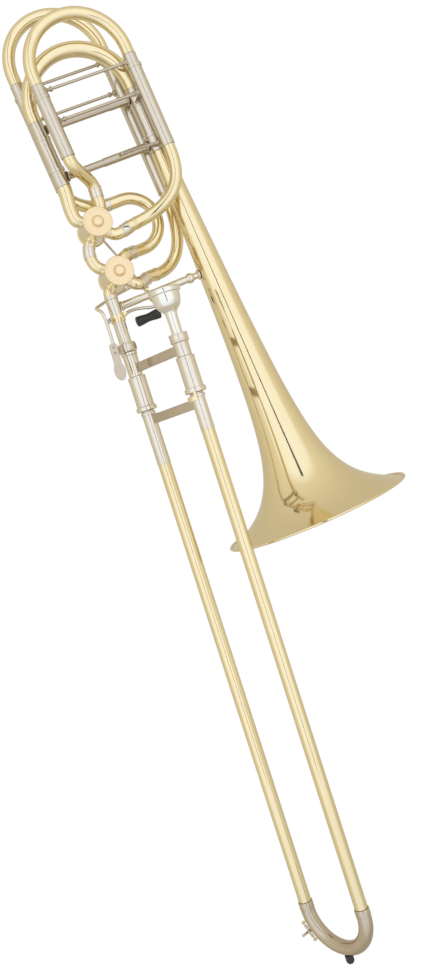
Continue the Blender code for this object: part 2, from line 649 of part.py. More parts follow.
def make_valve(number, height, turn, rest):
    """Casing, caps, rotor and stop arm. The arm's pin stands at the angle rest."""
    front, back = CASING_FRONT, CASING_BACK
    length = back - front
    frame = along_y(VALVE_X, back, height)
    solid = [(0.0, length), (CASING_RADIUS, length), (CASING_RADIUS, 0.0), (0.0, 0.0)]
    casing = turned(f"valve{number}_casing", solid, VALVE_SIDES, "brass", frame, closed=False)
    bore = CASING_RADIUS - CASING_WALL
    reach = PORT_REACH
    duct = PORT_RADIUS - TUBE_WALL
    margin = 2 * CASING_WALL
    for direction in (0, 1):
        angle = math.radians(45) + turn + direction * math.radians(90)
        way = Vector((math.cos(angle), 0.0, math.sin(angle)))
        middle = Vector((VALVE_X, 0.0, height))
        for kind, radius, half in (("port", PORT_RADIUS, reach), ("duct", duct, reach + margin)):
            profile = [(0.0, 2 * half), (radius, 2 * half), (radius, 0.0), (0.0, 0.0)]
            cutter = turned(
                f"valve{number}_{kind}_{direction}", profile, TUBE_SIDES, None,
                between(middle - way * half, middle + way * half), closed=False, collection=CUTTERS,
            )
            hide(cutter)
            if kind == "port":
                boolean(casing, cutter, "UNION")
    inside = [(0.0, length + margin), (bore, length + margin), (bore, -margin), (0.0, -margin)]
    cutter = turned(f"valve{number}_bore", inside, VALVE_SIDES, None, frame, closed=False, collection=CUTTERS)
    boolean(casing, hide(cutter), "DIFFERENCE")
    for direction in (0, 1):
        boolean(casing, bpy.data.objects[f"valve{number}_duct_{direction}"], "DIFFERENCE")

    button = [
        (0.0, CAP_THICKNESS + BUTTON_HEIGHT), (BUTTON_RADIUS, CAP_THICKNESS + BUTTON_HEIGHT),
        (BUTTON_RADIUS, CAP_THICKNESS), (CAP_RADIUS, CAP_THICKNESS), (CAP_RADIUS, 0.0), (0.0, 0.0),
    ]
    turned(f"valve{number}_front_cap", button, VALVE_SIDES, "satin",
           along_y(VALVE_X, front - SEAT_GAP, height), closed=False)
    hole = SPINDLE_RADIUS + TURNING_GAP
    plate = [
        (CAP_RADIUS, PLATE_THICKNESS), (CAP_RADIUS, 0.0), (hole, 0.0), (hole, PLATE_THICKNESS),
    ]
    turned(f"valve{number}_back_plate", plate, VALVE_SIDES, "brass",
           along_y(VALVE_X, back + SEAT_GAP + PLATE_THICKNESS, height))

    rotor_radius = bore - TURNING_GAP
    half = ROTOR_HALF_LENGTH
    tip = ARM_DEPTH + ARM_THICKNESS / 2
    spin = [
        (0.0, half), (rotor_radius, half), (rotor_radius, -half), (SPINDLE_RADIUS, -half),
        (SPINDLE_RADIUS, -tip), (0.0, -tip),
    ]
    rotor = turned(f"valve{number}_rotor", spin, VALVE_SIDES, "brass",
                   along_y(VALVE_X, 0, height), closed=False)
    for side in (0, 1):
        angle = turn + side * math.pi
        way = Vector((-math.sin(angle), 0.0, math.cos(angle)))
        across = Vector((math.cos(angle), 0.0, math.sin(angle)))
        middle = Vector((VALVE_X, 0.0, height)) + across * ROTOR_DUCT_OFFSET
        far = CASING_RADIUS * 1.5
        profile = [(0.0, 2 * far), (duct, 2 * far), (duct, 0.0), (0.0, 0.0)]
        cutter = turned(
            f"valve{number}_passage_{side}", profile, TUBE_SIDES, None,
            between(middle - way * far, middle + way * far), closed=False, collection=CUTTERS,
        )
        boolean(rotor, hide(cutter), "DIFFERENCE")
    make_arm(number, height, rest)


def make_arm(number, height, rest):
    """The stop arm behind a valve: a hub on the spindle, a flat arm and its pin."""
    work = bmesh.new()
    hub = ARM_HUB_RADIUS
    eye = LINK_EYE_RADIUS * 0.8
    outline = []
    steps = 8
    for i in range(steps + 1):
        angle = math.radians(100) + math.radians(160) * i / steps
        outline.append((hub * math.cos(angle), hub * math.sin(angle)))
    for i in range(steps + 1):
        angle = math.radians(-80) + math.radians(160) * i / steps
        outline.append((ARM_RADIUS + eye * math.cos(angle), eye * math.sin(angle)))
    base = [work.verts.new((x, y, 0.0)) for x, y in outline]
    work.faces.new(base)
    mesh = bpy.data.meshes.new(f"valve{number}_stop_arm")
    work.to_mesh(mesh)
    work.free()
    depth = ARM_DEPTH - ARM_THICKNESS / 2
    frame = at(VALVE_X, depth, height) @ Matrix.Rotation(-rest, 4, "Y")
    frame = frame @ Matrix.Rotation(math.radians(90), 4, "X")
    obj = place(f"valve{number}_stop_arm", mesh, "nickel", frame)
    thick = obj.modifiers.new("Thickness", "SOLIDIFY")
    thick.thickness = ARM_THICKNESS
    thick.offset = 1.0
    far = 4 * ARM_THICKNESS
    holes = ((0.0, SPINDLE_RADIUS + SEAT_GAP, "hub"), (ARM_RADIUS, ARM_PIN_RADIUS + SEAT_GAP, "eye"))
    for x, radius, kind in holes:
        profile = [(0.0, far), (radius, far), (radius, -far), (0.0, -far)]
        cutter = turned(f"valve{number}_arm_{kind}", profile, SHORT_SIDES, None,
                        frame @ Matrix.Translation((x, 0, 0)), closed=False, collection=CUTTERS)
        boolean(obj, hide(cutter), "DIFFERENCE")


def rounded(points, bend, steps=4):
    """A path whose inner corners are rounded by a bend of the given size."""
    points = [Vector(p) for p in points]
    path = [points[0]]
    for before, corner, after in zip(points, points[1:], points[2:]):
        back = (before - corner).normalized() * min(bend, (before - corner).length * 0.45)
        ahead = (after - corner).normalized() * min(bend, (after - corner).length * 0.45)
        for i in range(steps + 1):
            t = i / steps
            path.append(corner + back * (1 - t) ** 2 + ahead * t**2)
    path.append(points[-1])
    return path


def link_points(number):
    """The pin of a stop arm and the end of its lever, both at the arm's depth."""
    height, lever = ((VALVE1_Z, FINGER_END), (VALVE2_Z, THUMB_END))[number - 1]
    middle = Vector((VALVE_X, ARM_DEPTH, height))
    rest = arm_rest(number)
    pin = middle + Vector((math.cos(rest), 0.0, math.sin(rest))) * ARM_RADIUS
    return pin, lever


def arm_rest(number):
    """The stop arm's angle at rest, half its quarter turn away from square to the link."""
    pivot, end, height, side = (
        (FINGER_PIVOT, FINGER_END, VALVE1_Z, 1.0),
        (THUMB_PIVOT, THUMB_END, VALVE2_Z, -1.0),
    )[number - 1]
    arm = Vector((end.x - pivot.x, end.z - pivot.z))
    swing = 2 * math.asin(ARM_RADIUS * math.sqrt(2) / (2 * arm.length))
    return math.atan2(arm.y, arm.x) - side * swing / 2 + side * math.radians(45)


def make_link(number):
    """A link rod: its bent end is the pin in the stop arm, its flat head lies behind the lever's eye."""
    pin, end = link_points(number)
    end = Vector((end.x, ARM_DEPTH, end.z))
    behind = Vector((0.0, LEVER_RADIUS + LINK_HEAD_HALF + SEAT_GAP, 0.0))
    ahead = Vector((0.0, -ARM_THICKNESS, 0.0))
    points = [pin + ahead, pin + behind, end + behind]
    path = [point - pin for point in rounded(points, LINK_RADIUS * 1.2, 3)]
    frame = BELL_FRAME @ Matrix.Translation(pin)
    link = rod(f"valve{number}_link", path, LINK_RADIUS, "nickel", frame)
    head = disc_y(f"valve{number}_link_head", path[-1], LINK_EYE_RADIUS, 2 * LINK_HEAD_HALF, frame)
    joined(link, head)


def bored(obj, where, radius, length):
    """Cuts a round hole along Y, centred on a point of the object's own frame."""
    frame = obj.matrix_world @ Matrix.Translation(where) @ Matrix.Rotation(math.radians(90), 4, "X")
    profile = [(0.0, length), (radius, length), (radius, -length), (0.0, -length)]
    cutter = turned(f"{obj.name}_hole_{len(obj.modifiers)}", profile, HOLE_SIDES, None, frame,
                    closed=False, collection=CUTTERS)
    boolean(obj, hide(cutter), "DIFFERENCE")


def joined(obj, cutter):
    hide(cutter)
    boolean(obj, cutter, "UNION")


def disc_y(name, where, radius, length, frame):
    """A round solid along Y, centred on a point of the given frame."""
    half = length / 2
    profile = [(0.0, half), (radius, half), (radius, -half), (0.0, -half)]
    turn = frame @ Matrix.Translation(where) @ Matrix.Rotation(math.radians(90), 4, "X")
    return turned(name, profile, SHORT_SIDES, None, turn, closed=False, collection=CUTTERS)


def make_thumb_lever():
    pivot = THUMB_PIVOT
    frame = BELL_FRAME @ Matrix.Translation(pivot)
    end = Vector((THUMB_END.x, ARM_DEPTH, THUMB_END.z))
    beside = pivot - Vector((THUMB_BESIDE, 0.0, 0.0))
    below = Vector((beside.x, THUMB_DEPTH, beside.z)) + THUMB_DROP
    points = [
        end - Vector((LINK_EYE_RADIUS * 0.7, 0.0, 0.0)), THUMB_CORNER, THUMB_ELBOW,
        beside + THUMB_RISE, beside + THUMB_PASS, below, below + THUMB_TAIL,
    ]
    path = [point - pivot for point in rounded(points, THUMB_BEND, 2)]
    lever = rod("thumb_lever", path, LEVER_RADIUS, "nickel", frame)
    finish_lever(lever, frame, end - pivot)
    make_paddle(path[-1])


def finish_lever(lever, frame, end):
    """Adds the bored hinge barrel at the lever's pivot and the flat eye that meets the link."""
    side = lever.name
    joined(lever, disc_y(f"{side}_barrel", (0, 0, 0), HINGE_RADIUS, BARREL_LENGTH, frame))
    joined(lever, disc_y(f"{side}_eye", end, LINK_EYE_RADIUS, ARM_THICKNESS, frame))
    bored(lever, Vector((0, 0, 0)), HINGE_PIN_RADIUS + SEAT_GAP, BARREL_HOLE_REACH)


def make_paddle(tail):
    """The thumb paddle: a slim plate in front of the lever rod that widens into an oval."""
    half_long = PADDLE_LENGTH / 2
    half_wide = PADDLE_WIDTH / 2
    neck = half_wide * PADDLE_NECK
    top = PADDLE_STEM
    corner = top - 1.5 * MM
    outline = []
    steps = 9
    for i in range(steps + 1):
        angle = math.radians(48) - math.radians(276) * i / steps
        outline.append((half_wide * math.cos(angle), half_long * math.sin(angle)))
    outline += [(-neck, corner), (-neck * 0.6, top), (neck * 0.6, top), (neck, corner)]
    work = bmesh.new()
    work.faces.new([work.verts.new((x, 0.0, z)) for x, z in outline])
    bmesh.ops.recalc_face_normals(work, faces=work.faces)
    mesh = bpy.data.meshes.new("thumb_paddle")
    work.to_mesh(mesh)
    work.free()
    front = LEVER_RADIUS + SEAT_GAP + PADDLE_THICKNESS / 2
    middle = tail + PADDLE_SHIFT - Vector((0.0, front, 0.0))
    mesh.transform(Matrix.Translation(middle) @ Matrix.Rotation(PADDLE_LEAN, 4, "Y"))
    obj = place("thumb_paddle", mesh, "nickel", BELL_FRAME @ Matrix.Translation(THUMB_PIVOT))
    thick = obj.modifiers.new("Thickness", "SOLIDIFY")
    thick.thickness = PADDLE_THICKNESS
    thick.offset = 0.0


def make_finger_lever():
    pivot = FINGER_PIVOT
    frame = BELL_FRAME @ Matrix.Translation(pivot)
    end = Vector((FINGER_END.x, ARM_DEPTH, FINGER_END.z))
    centre = ROLLER_CENTRE
    half = ROLLER_LENGTH / 2
    corner = centre + Vector((half + FINGER_CORNER, 0.0, 0.0))
    points = [
        end - Vector((0.0, 0.0, LINK_EYE_RADIUS * 0.7)), end + FINGER_TOP, corner + FINGER_FALL,
        corner, centre - Vector((half - MM, 0.0, 0.0)),
    ]
    path = [point - pivot for point in rounded(points, FINGER_BEND, 2)]
    lever = rod("finger_lever", path, FINGER_ROD_RADIUS, "nickel", frame)
    bar = [*FINGER_BAR, corner + FINGER_FALL - pivot]
    joined(lever, rod("finger_bar", bar, LEVER_RADIUS, None, frame, collection=CUTTERS))
    finish_lever(lever, frame, end - pivot)

    big, thin = ROLLER_RADIUS, ROLLER_WAIST
    hole = FINGER_ROD_RADIUS + SLIDING_GAP
    soft = big - ROLLER_EDGE
    side = half - ROLLER_EDGE
    shoulder = half * 0.62
    waist = half * 0.2
    profile = [
        (soft, half), (big, side), (big, shoulder), (thin, waist), (thin, -waist),
        (big, -shoulder), (big, -side), (soft, -half), (hole, -half), (hole, half),
    ]
    turned("finger_roller", profile, SHORT_SIDES, "rubber", along_x(*centre))


def make_saddle():
    """The brass band on the neckpipe. A lug on each side holds the hinge pin of a lever."""
    inner = NECK_RADIUS + SEAT_GAP
    outer = inner + SADDLE_WALL
    profile = [(outer, -SADDLE_TOP), (outer, -SADDLE_BOTTOM), (inner, -SADDLE_BOTTOM), (inner, -SADDLE_TOP)]
    band = turned("lever_saddle", profile, NECK_SIDES, "brass", SLIDE_FRAME)
    half = LUG_HEIGHT / 2
    barrel = BARREL_LENGTH / 2
    for side, pivot, sign in (("thumb", THUMB_PIVOT, 1.0), ("finger", FINGER_PIVOT, -1.0)):
        near = pivot.y + sign * (barrel + SEAT_GAP)
        back = -sign * LUG_SPLIT
        axis = SLIDE_LOCAL @ Vector((0.0, 0.0, pivot.z - sign * half - SLIDE_TOP.z))
        inside = axis.x - sign * inner * SLANT
        outside = pivot.x - sign * 2 * HINGE_PIN_RADIUS
        x0, x1 = sorted((inside, outside))
        y0, y1 = sorted((near, back))
        middle = Vector(((x0 + x1) / 2, (y0 + y1) / 2, pivot.z))
        size = Vector((x1 - x0, y1 - y0, LUG_HEIGHT))
        joined(band, block(f"{side}_lug", middle, size))
        tip = pivot.y - sign * (barrel + HINGE_PIN_RADIUS)
        pin_middle = Vector((pivot.x, (tip + back) / 2, pivot.z))
        length = abs(back - tip) - LUG_PIN_SHORT
        joined(band, disc_y(f"{side}_pin", pin_middle, HINGE_PIN_RADIUS, length, BELL_FRAME))


def block(name, middle, size, frame=None, finish=None):
    """A box, in the bell's frame or in the frame given. Without a finish it is a helper for a join."""
    work = bmesh.new()
    bmesh.ops.create_cube(work, size=1.0)
    mesh = bpy.data.meshes.new(name)
    work.to_mesh(mesh)
    work.free()
    mesh.transform(Matrix.Translation(middle) @ Matrix.Diagonal((*size, 1.0)))
    group = TROMBONE if finish else CUTTERS
    return place(name, mesh, finish, frame or BELL_FRAME, group)


def valve_tube(name, path, first, last):
    grow = smooth_radii(first, last, len(path))
    pipe(name, path, first, TUBE_WALL, "brass", sides=BENT_SIDES, radii=grow)


def spliced(first, second):
    """Two bends that meet in one point, as one path."""
    return first[:-2] + first[-1:] + second[2:]


def make_valve_tubes():
    """The tubes between valves, loops, main slide and neckpipe."""
    gap = SEAT_GAP
    down = Vector((0.0, 0.0, -1.0))
    port = PORT_RADIUS
    loop = LOOP_RADIUS

    end, out = valve_port(VALVE1_Z, VALVE1_TURN, 1)
    path = bend((0, 0, MAIN_OUTER_BOTTOM - gap), down, end, -out, 6, SHORT_PULL)
    valve_tube("main_to_valve1_tube", path, MAIN_LEG_RADIUS, port)

    start, out = valve_port(VALVE1_Z, VALVE1_TURN, 2)
    end, into = valve_port(VALVE2_Z, VALVE2_TURN, 1)
    valve_tube("valve1_to_valve2_tube", bend(start, out, end, -into, 6), port, port)

    start, out = valve_port(VALVE2_Z, VALVE2_TURN, 2)
    neck = SLIDE_LOCAL.to_3x3() @ down
    end = SLIDE_LOCAL @ Vector((0, 0, -NECK_TOP + gap))
    valve_tube("valve2_to_neck_tube", bend(start, out, end, neck, 4, PORT_PULL), port, NECK_RADIUS)

    top = Vector((FIRST_LEFT, -LOOP_DEPTH, FIRST_LEFT_BOTTOM - gap))
    end, out = valve_port(VALVE1_Z, VALVE1_TURN, 0)
    path = bend(top, down, FIRST_FERRULE, FIRST_FALL, 5)
    path = spliced(path, bend(FIRST_FERRULE, FIRST_FALL, end, -out, 4))
    valve_tube("first_loop_upper_tube", path, loop, port)

    top = Vector((FIRST_RIGHT, -LOOP_DEPTH, FIRST_RIGHT_BOTTOM - gap))
    end, out = valve_port(VALVE1_Z, VALVE1_TURN, 3)
    path = bend(top, down, FIRST_LOWER_RING, FIRST_LOWER_WAY, 8, LONG_PULL)
    path = spliced(path, bend(FIRST_LOWER_RING, FIRST_LOWER_WAY, end, -out, 4))
    valve_tube("first_loop_lower_tube", path, loop, port)

    top = Vector((SECOND_LEFT, LOOP_DEPTH, SECOND_LEFT_BOTTOM - gap))
    turn = arc(SECOND_TURN_CENTRE, SECOND_TURN_RADIUS, math.pi / 2, -math.pi, 8, LOOP_DEPTH)
    start = turn[0] - Vector((SECOND_TURN_LEAD, 0.0, 0.0))
    end, out = valve_port(VALVE2_Z, VALVE2_TURN, 0)
    path = bend(top, down, start, (1, 0, 0), 5)[:-1] + turn
    path = spliced(path, bend(turn[-1], SECOND_UPPER_WAY, end, -out, 4, PORT_PULL))
    valve_tube("second_loop_upper_tube", path, loop, port)

    top = Vector((SECOND_RIGHT, LOOP_DEPTH, SECOND_RIGHT_BOTTOM - gap))
    end, out = valve_port(VALVE2_Z, VALVE2_TURN, 3)
    path = bend(top, down, SECOND_LOWER_RING, SECOND_LOWER_WAY, 8, LONG_PULL)
    path = spliced(path, bend(SECOND_LOWER_RING, SECOND_LOWER_WAY, end, -out, 4, PORT_PULL))
    valve_tube("second_loop_lower_tube", path, loop, port)


def make_braces(loop_outer):
    """The rod from the body brace to the first loop, and the short rod between valve 2's tubes."""
    front = -(BODY_BRACE_RADIUS + BRACE_RISE + SEAT_GAP)
    start = Vector((LOOP_ROD_START, front, BODY_BRACE_HEIGHT))
    knee = start - Vector((0.0, 3.0 * ROD_RADIUS, 0.0))
    end = Vector((FIRST_RIGHT, -LOOP_DEPTH, LOOP_ROD_END_HEIGHT))
    end -= (end - knee).normalized() * (loop_outer + 2 * SEAT_GAP)
    rod("first_loop_rod", rounded([start, knee, end], 2 * ROD_RADIUS, 3), ROD_RADIUS, "nickel")

    axis = -SLIDE_TOP.z + BELL_BRACE_HEIGHT
    neck = SLIDE_LOCAL @ Vector((0, 0, axis))
    foot = BELL_BRACE_RADIUS * 1.35
    x0 = neck.x + NECK_RADIUS * SLANT + foot * math.tan(SLIDE_TILT) + SEAT_GAP
    x1 = BELL_OFFSET - bell_radius(BELL_BRACE_HEIGHT) - SEAT_GAP
    thick = BELL_BRACE_RADIUS
    thin = thick * 0.86
    ball = thick * 1.4
    length = x1 - x0
    at_ball = length - BELL_BRACE_BALL_AT
    step = BELL_BRACE_STEP
    base = BELL_BRACE_FOOT
    cone = base + BELL_BRACE_CONE
    profile = [
        (0.0, length), (foot, length), (foot, length - base), (thin, length - cone),
        (thin, at_ball + ball * 0.85), (ball * 0.86, at_ball + ball * 0.5), (ball, at_ball),
        (ball * 0.86, at_ball - ball * 0.5), (thick, at_ball - ball * 0.85), (thick, step),
        (thick * 1.06, step), (thick * 1.06, cone), (foot, base), (foot, 0.0), (0.0, 0.0),
    ]
    turned("bell_brace", profile, SHORT_SIDES, "nickel", along_x(x0, 0, BELL_BRACE_HEIGHT), closed=False)


def make_neck():
    outer = NECK_RADIUS
    hollow = outer - 2 * TUBE_WALL
    bottom = -NUT_TOP - NUT_LENGTH + SEAT_GAP
    profile = [(outer, -NECK_TOP), (outer, bottom), (hollow, bottom), (hollow, -NECK_TOP)]
    turned("neckpipe", profile, NECK_SIDES, "nickel", SLIDE_FRAME)

    inner = outer + TURNING_GAP
    nut = NUT_RADIUS
    edge = NUT_EDGE
    profile = [
        (nut - edge, 0.0), (nut, -edge), (nut, -NUT_LENGTH + edge), (nut - edge, -NUT_LENGTH),
        (inner, -NUT_LENGTH), (inner, 0.0),
    ]
    frame = SLIDE_FRAME @ Matrix.Translation((0, 0, -NUT_TOP))
    turned("bell_lock_nut", profile, VALVE_SIDES, "nickel", frame)

    top = -NUT_TOP - NUT_LENGTH - SEAT_GAP
    bottom = -BARREL_TOP + SEAT_GAP
    below = top - SOCKET_COLLAR
    bore = SLIDE_BORE / 2
    profile = [
        (SOCKET_COLLAR_RADIUS, top), (SOCKET_COLLAR_RADIUS, below), (SOCKET_RADIUS, below),
        (RECEIVER_CONE_END, bottom), (bore, bottom), (bore, top),
    ]
    turned("slide_receiver", profile, NECK_SIDES, None, SLIDE_FRAME, collection=CUTTERS)


def make_inner_slide():
    bore = SLIDE_BORE / 2
    tube = bore + INNER_WALL
    hole = tube + SEAT_GAP
    inside = BARREL_RADIUS - BARREL_WALL
    top = -BARREL_TOP
    bottom = -BARREL_BOTTOM
    ring = bottom + BARREL_RING_LENGTH
    lip = top - BARREL_LIP
    right = Matrix.Translation((SLIDE_SPACING, 0, 0))
    for side, frame in (("left", SLIDE_FRAME), ("right", SLIDE_FRAME @ right)):
        start = top - SEAT_GAP
        profile = [(tube, start), (tube, -INNER_BOTTOM), (bore, -INNER_BOTTOM), (bore, start)]
        turned(f"inner_slide_{side}_tube", profile, TUBE_SIDES, "nickel", frame)
        profile = [
            (BARREL_RADIUS, top), (BARREL_RADIUS, ring), (BARREL_RING_RADIUS, ring),
            (BARREL_RING_RADIUS, bottom), (inside, bottom), (inside, lip), (hole, lip), (hole, top),
        ]
        turned(f"cork_barrel_{side}", profile, CUP_SIDES, "nickel", frame)
    frame = SLIDE_FRAME @ right
    collar = -RECEIVER_TOP - RECEIVER_COLLAR
    narrow = collar - RECEIVER_CONE
    end = top + SEAT_GAP
    profile = [
        (RECEIVER_RADIUS, -RECEIVER_TOP), (RECEIVER_RADIUS, collar), (RECEIVER_TUBE_RADIUS, narrow),
        (RECEIVER_TUBE_RADIUS, end), (bore, end), (bore, -RECEIVER_TOP),
    ]
    turned("mouthpiece_receiver", profile, CUP_SIDES, None, frame, collection=CUTTERS)
    left_edge = RECEIVER_CONE_END
    right_edge = SLIDE_SPACING - RECEIVER_TUBE_RADIUS + 2 * JOINT_DEPTH
    brace = flat_brace("inner_slide_brace", left_edge, right_edge, INNER_BRACE_AT)
    joined(brace, bpy.data.objects["slide_receiver"])
    joined(brace, bpy.data.objects["mouthpiece_receiver"])
    make_mouthpiece(frame)
    make_lock(frame)


def flat_brace(name, x0, x1, along):
    """A flat bar across the hand slide from x0 to x1, with its long edges eased."""
    middle = Vector(((x0 + x1) / 2, 0.0, -along))
    obj = block(name, middle, Vector((x1 - x0, BRACE_DEPTH, BRACE_HEIGHT)), SLIDE_FRAME, "nickel")
    soft = obj.modifiers.new("Edges", "BEVEL")
    soft.width = BRACE_EDGE
    soft.segments = 1
    soft.limit_method = "ANGLE"
    return obj


def make_mouthpiece(frame):
    outside = [(radius * MM, -depth * MM) for radius, depth in MOUTHPIECE_OUTSIDE]
    inside = [(radius * MM, -depth * MM) for radius, depth in MOUTHPIECE_INSIDE]
    end = RIM_AT - SHANK_END
    shank = [
        (SHANK_RADIUS, RIM_AT - RECEIVER_TOP), (SHANK_TIP_RADIUS, end), (SHANK_TIP_RADIUS - SHANK_WALL, end),
    ]
    frame = frame @ Matrix.Translation((0, 0, -RIM_AT))
    turned("mouthpiece", outside + shank + inside, CUP_SIDES, "silver", frame)


def make_lock(frame):
    """The brass slide lock: a ring round the right cork barrel with a long finger tab."""
    inner = BARREL_RADIUS + TURNING_GAP
    outer = inner + LOCK_THICKNESS
    low = -BARREL_BOTTOM + BARREL_RING_LENGTH + SEAT_GAP
    high = low + LOCK_HEIGHT
    profile = [(outer, high), (outer, low), (inner, low), (inner, high)]
    ring = turned("slide_lock", profile, VALVE_SIDES, "brass", frame)
    start = BARREL_RING_RADIUS + TURNING_GAP
    middle = Vector((start + LOCK_TAB.x / 2, 0.0, high - LOCK_TAB.z / 2))
    turn = frame @ Matrix.Rotation(LOCK_ANGLE, 4, "Z")
    joined(ring, block("lock_tab", middle, LOCK_TAB, turn))


def make_outer_slide():
    bore = SLIDE_BORE / 2 + INNER_WALL + SLIDING_GAP
    tube = bore + OUTER_WALL
    sleeve = tube + SLEEVE_WALL
    right = SLIDE_FRAME @ Matrix.Translation((SLIDE_SPACING, 0, 0))
    reach = sleeve - JOINT_DEPTH
    handle = flat_brace("outer_slide_handle", reach, SLIDE_SPACING - reach, OUTER_BRACE_AT)
    half = SLIDE_SPACING / 2
    rise = BOW_OVERLAP - BOW_AT
    path = [Vector((0.0, 0.0, rise))]
    path += arc((half, -BOW_AT), half, math.pi, math.pi, CROOK_STEPS)
    path += [Vector((SLIDE_SPACING, 0.0, rise))]
    bow = pipe("end_bow", path, BOW_RADIUS, BOW_WALL, "nickel", frame=SLIDE_FRAME, sides=MAIN_SIDES)
    low = -SLEEVE_TOP - SLEEVE_COLLAR
    ring = sleeve + SLEEVE_RING_RISE
    for side, frame, end in (
        ("left", SLIDE_FRAME, SLEEVE_LEFT_END), ("right", right, SLEEVE_RIGHT_END),
    ):
        profile = [
            (tube, -OUTER_TOP), (tube, -SLEEVE_TOP), (ring, -SLEEVE_TOP), (ring, low), (sleeve, low),
            (sleeve, -end), (bore, -end), (bore, -OUTER_TOP),
        ]
        joined(handle, turned(f"{side}_sleeve", profile, MAIN_SIDES, None, frame, collection=CUTTERS))
        start = -end - SEAT_GAP
        profile = [(tube, start), (tube, -OUTER_BOTTOM), (bore, -OUTER_BOTTOM), (bore, start)]
        turned(f"outer_slide_{side}_tube", profile, MAIN_SIDES, "brass", frame)
        top = -OUTER_BOTTOM - SEAT_GAP
        profile = [(FERRULE_RADIUS, top), (FERRULE_RADIUS, -BOW_AT), (bore, -BOW_AT), (bore, top)]
        joined(bow, turned(f"{side}_ferrule", profile, MAIN_SIDES, None, frame, collection=CUTTERS))
    make_bumper(half)
    make_water_key(half)


def make_bumper(half):
    top = -BOW_AT - half - BOW_RADIUS - SEAT_GAP
    wide = BUMPER_RADIUS
    profile = [
        (0.0, 0.0), (wide, 0.0), (wide, -BUMPER_LENGTH * 0.7), (wide * 0.55, -BUMPER_LENGTH),
        (0.0, -BUMPER_LENGTH),
    ]
    frame = SLIDE_FRAME @ Matrix.Translation((half, 0, top))
    turned("bumper", profile, NECK_SIDES, "rubber", frame, closed=False)


def key_frame(half):
    """On the bow's centre line: X outwards, Y to the front, Z along the tube towards the left leg."""
    angle = KEY_ANGLE
    outwards = Vector((-math.cos(angle), 0.0, -math.sin(angle)))
    along = Vector((-math.sin(angle), 0.0, math.cos(angle)))
    turn = Matrix((outwards, along.cross(outwards), along)).transposed().to_4x4()
    centre = Vector((half, 0.0, -BOW_AT)) + outwards * half
    return SLIDE_FRAME @ Matrix.Translation(centre) @ turn


def make_water_key(half):
    """The water key on the bow's left shoulder: saddle, lever, nipple, cork and spring coils."""
    frame = key_frame(half)
    hinge = frame @ Matrix.Translation((KEY_HINGE_REACH, 0.0, 0.0))
    pin = KEY_PIN_RADIUS
    post = KEY_POST_AT
    base = BOW_RADIUS + SEAT_GAP
    saddle = turned("water_key_saddle", cylinder(pin, 2 * post), HOLE_SIDES, "brass",
                    hinge @ Matrix.Translation((0, 0, -post)), closed=False)
    bar = KEY_BAR
    middle = Vector((base + bar.x / 2, 0.0, 0.0))
    joined(saddle, block("key_bar", middle, Vector((bar.x, bar.y, 2 * post)), frame))
    foot = math.sqrt((half + BOW_RADIUS) ** 2 - post**2) - half + SEAT_GAP
    for sign in (-1.0, 1.0):
        tall = KEY_HINGE_REACH - foot
        place_at = Vector((foot + tall / 2, 0.0, sign * post))
        joined(saddle, block(f"key_post_{sign:+.0f}", place_at, Vector((tall, bar.y, bar.x * 2)), frame))
        ball = hinge @ Matrix.Translation((0.0, 0.0, sign * post))
        joined(saddle, ball_helper(f"key_ball_{sign:+.0f}", KEY_BALL_RADIUS, ball))

    barrel = KEY_BARREL_HALF
    top = BOW_RADIUS + SEAT_GAP + NIPPLE_HEIGHT
    pad = top + SEAT_GAP
    cup = pad + CORK_HEIGHT + SEAT_GAP
    side = frame @ Matrix.Rotation(-NIPPLE_SIDE, 4, "Z")
    over = cup + CUP_PLATE + KEY_ROD_RADIUS * 0.6
    cup_at = Matrix.Rotation(-NIPPLE_SIDE, 3, "Z") @ Vector((over, 0.0, 0.0))
    cup_at -= Vector((KEY_HINGE_REACH, 0.0, 0.0))
    route = [KEY_FINGER, Vector((0.0, 0.0, 0.0)), Vector((KEY_ROD_RADIUS, cup_at.y * 0.5, 0.0)),
             cup_at, cup_at - Vector((CORK_RADIUS, CORK_RADIUS, 0.0)) * 0.5]
    lever = rod("water_key_lever", rounded(route, KEY_ROUND, 2), KEY_ROD_RADIUS, "nickel", hinge)
    wide = pin + SEAT_GAP + KEY_BARREL_WALL
    joined(lever, turned("key_barrel", cylinder(wide, 2 * barrel), SHORT_SIDES, None,
                         hinge @ Matrix.Translation((0, 0, -barrel)), closed=False, collection=CUTTERS))
    joined(lever, turned("key_cup", cylinder(CORK_RADIUS + KEY_CUP_RIM, CUP_PLATE), SHORT_SIDES, None,
                         outwards_from(side, cup), closed=False, collection=CUTTERS))
    bore = turned("key_bore", cylinder(pin + SEAT_GAP, 4 * barrel), HOLE_SIDES, None,
                  hinge @ Matrix.Translation((0, 0, -2 * barrel)), closed=False, collection=CUTTERS)
    boolean(lever, hide(bore), "DIFFERENCE")
    turned("water_key_cork", cylinder(CORK_RADIUS, CORK_HEIGHT), SHORT_SIDES, "rubber",
           outwards_from(side, pad), closed=False)
    wide, narrow, hole = CORK_RADIUS * 1.1, CORK_RADIUS * 0.85, CORK_RADIUS * 0.5
    nipple = [(narrow, NIPPLE_HEIGHT), (wide, 0.0), (hole, 0.0), (hole, NIPPLE_HEIGHT)]
    turned("water_key_nipple", nipple, SHORT_SIDES, "brass", outwards_from(side, top - NIPPLE_HEIGHT))
    make_key_springs(hinge, barrel + SEAT_GAP, post - bar.x - SEAT_GAP)


def outwards_from(frame, reach):
    """A frame whose local Z runs along the given frame's X, starting at a reach."""
    return frame @ Matrix.Translation((reach, 0.0, 0.0)) @ Matrix.Rotation(math.radians(90), 4, "Y")


def cylinder(radius, length):
    return [(0.0, length), (radius, length), (radius, 0.0), (0.0, 0.0)]


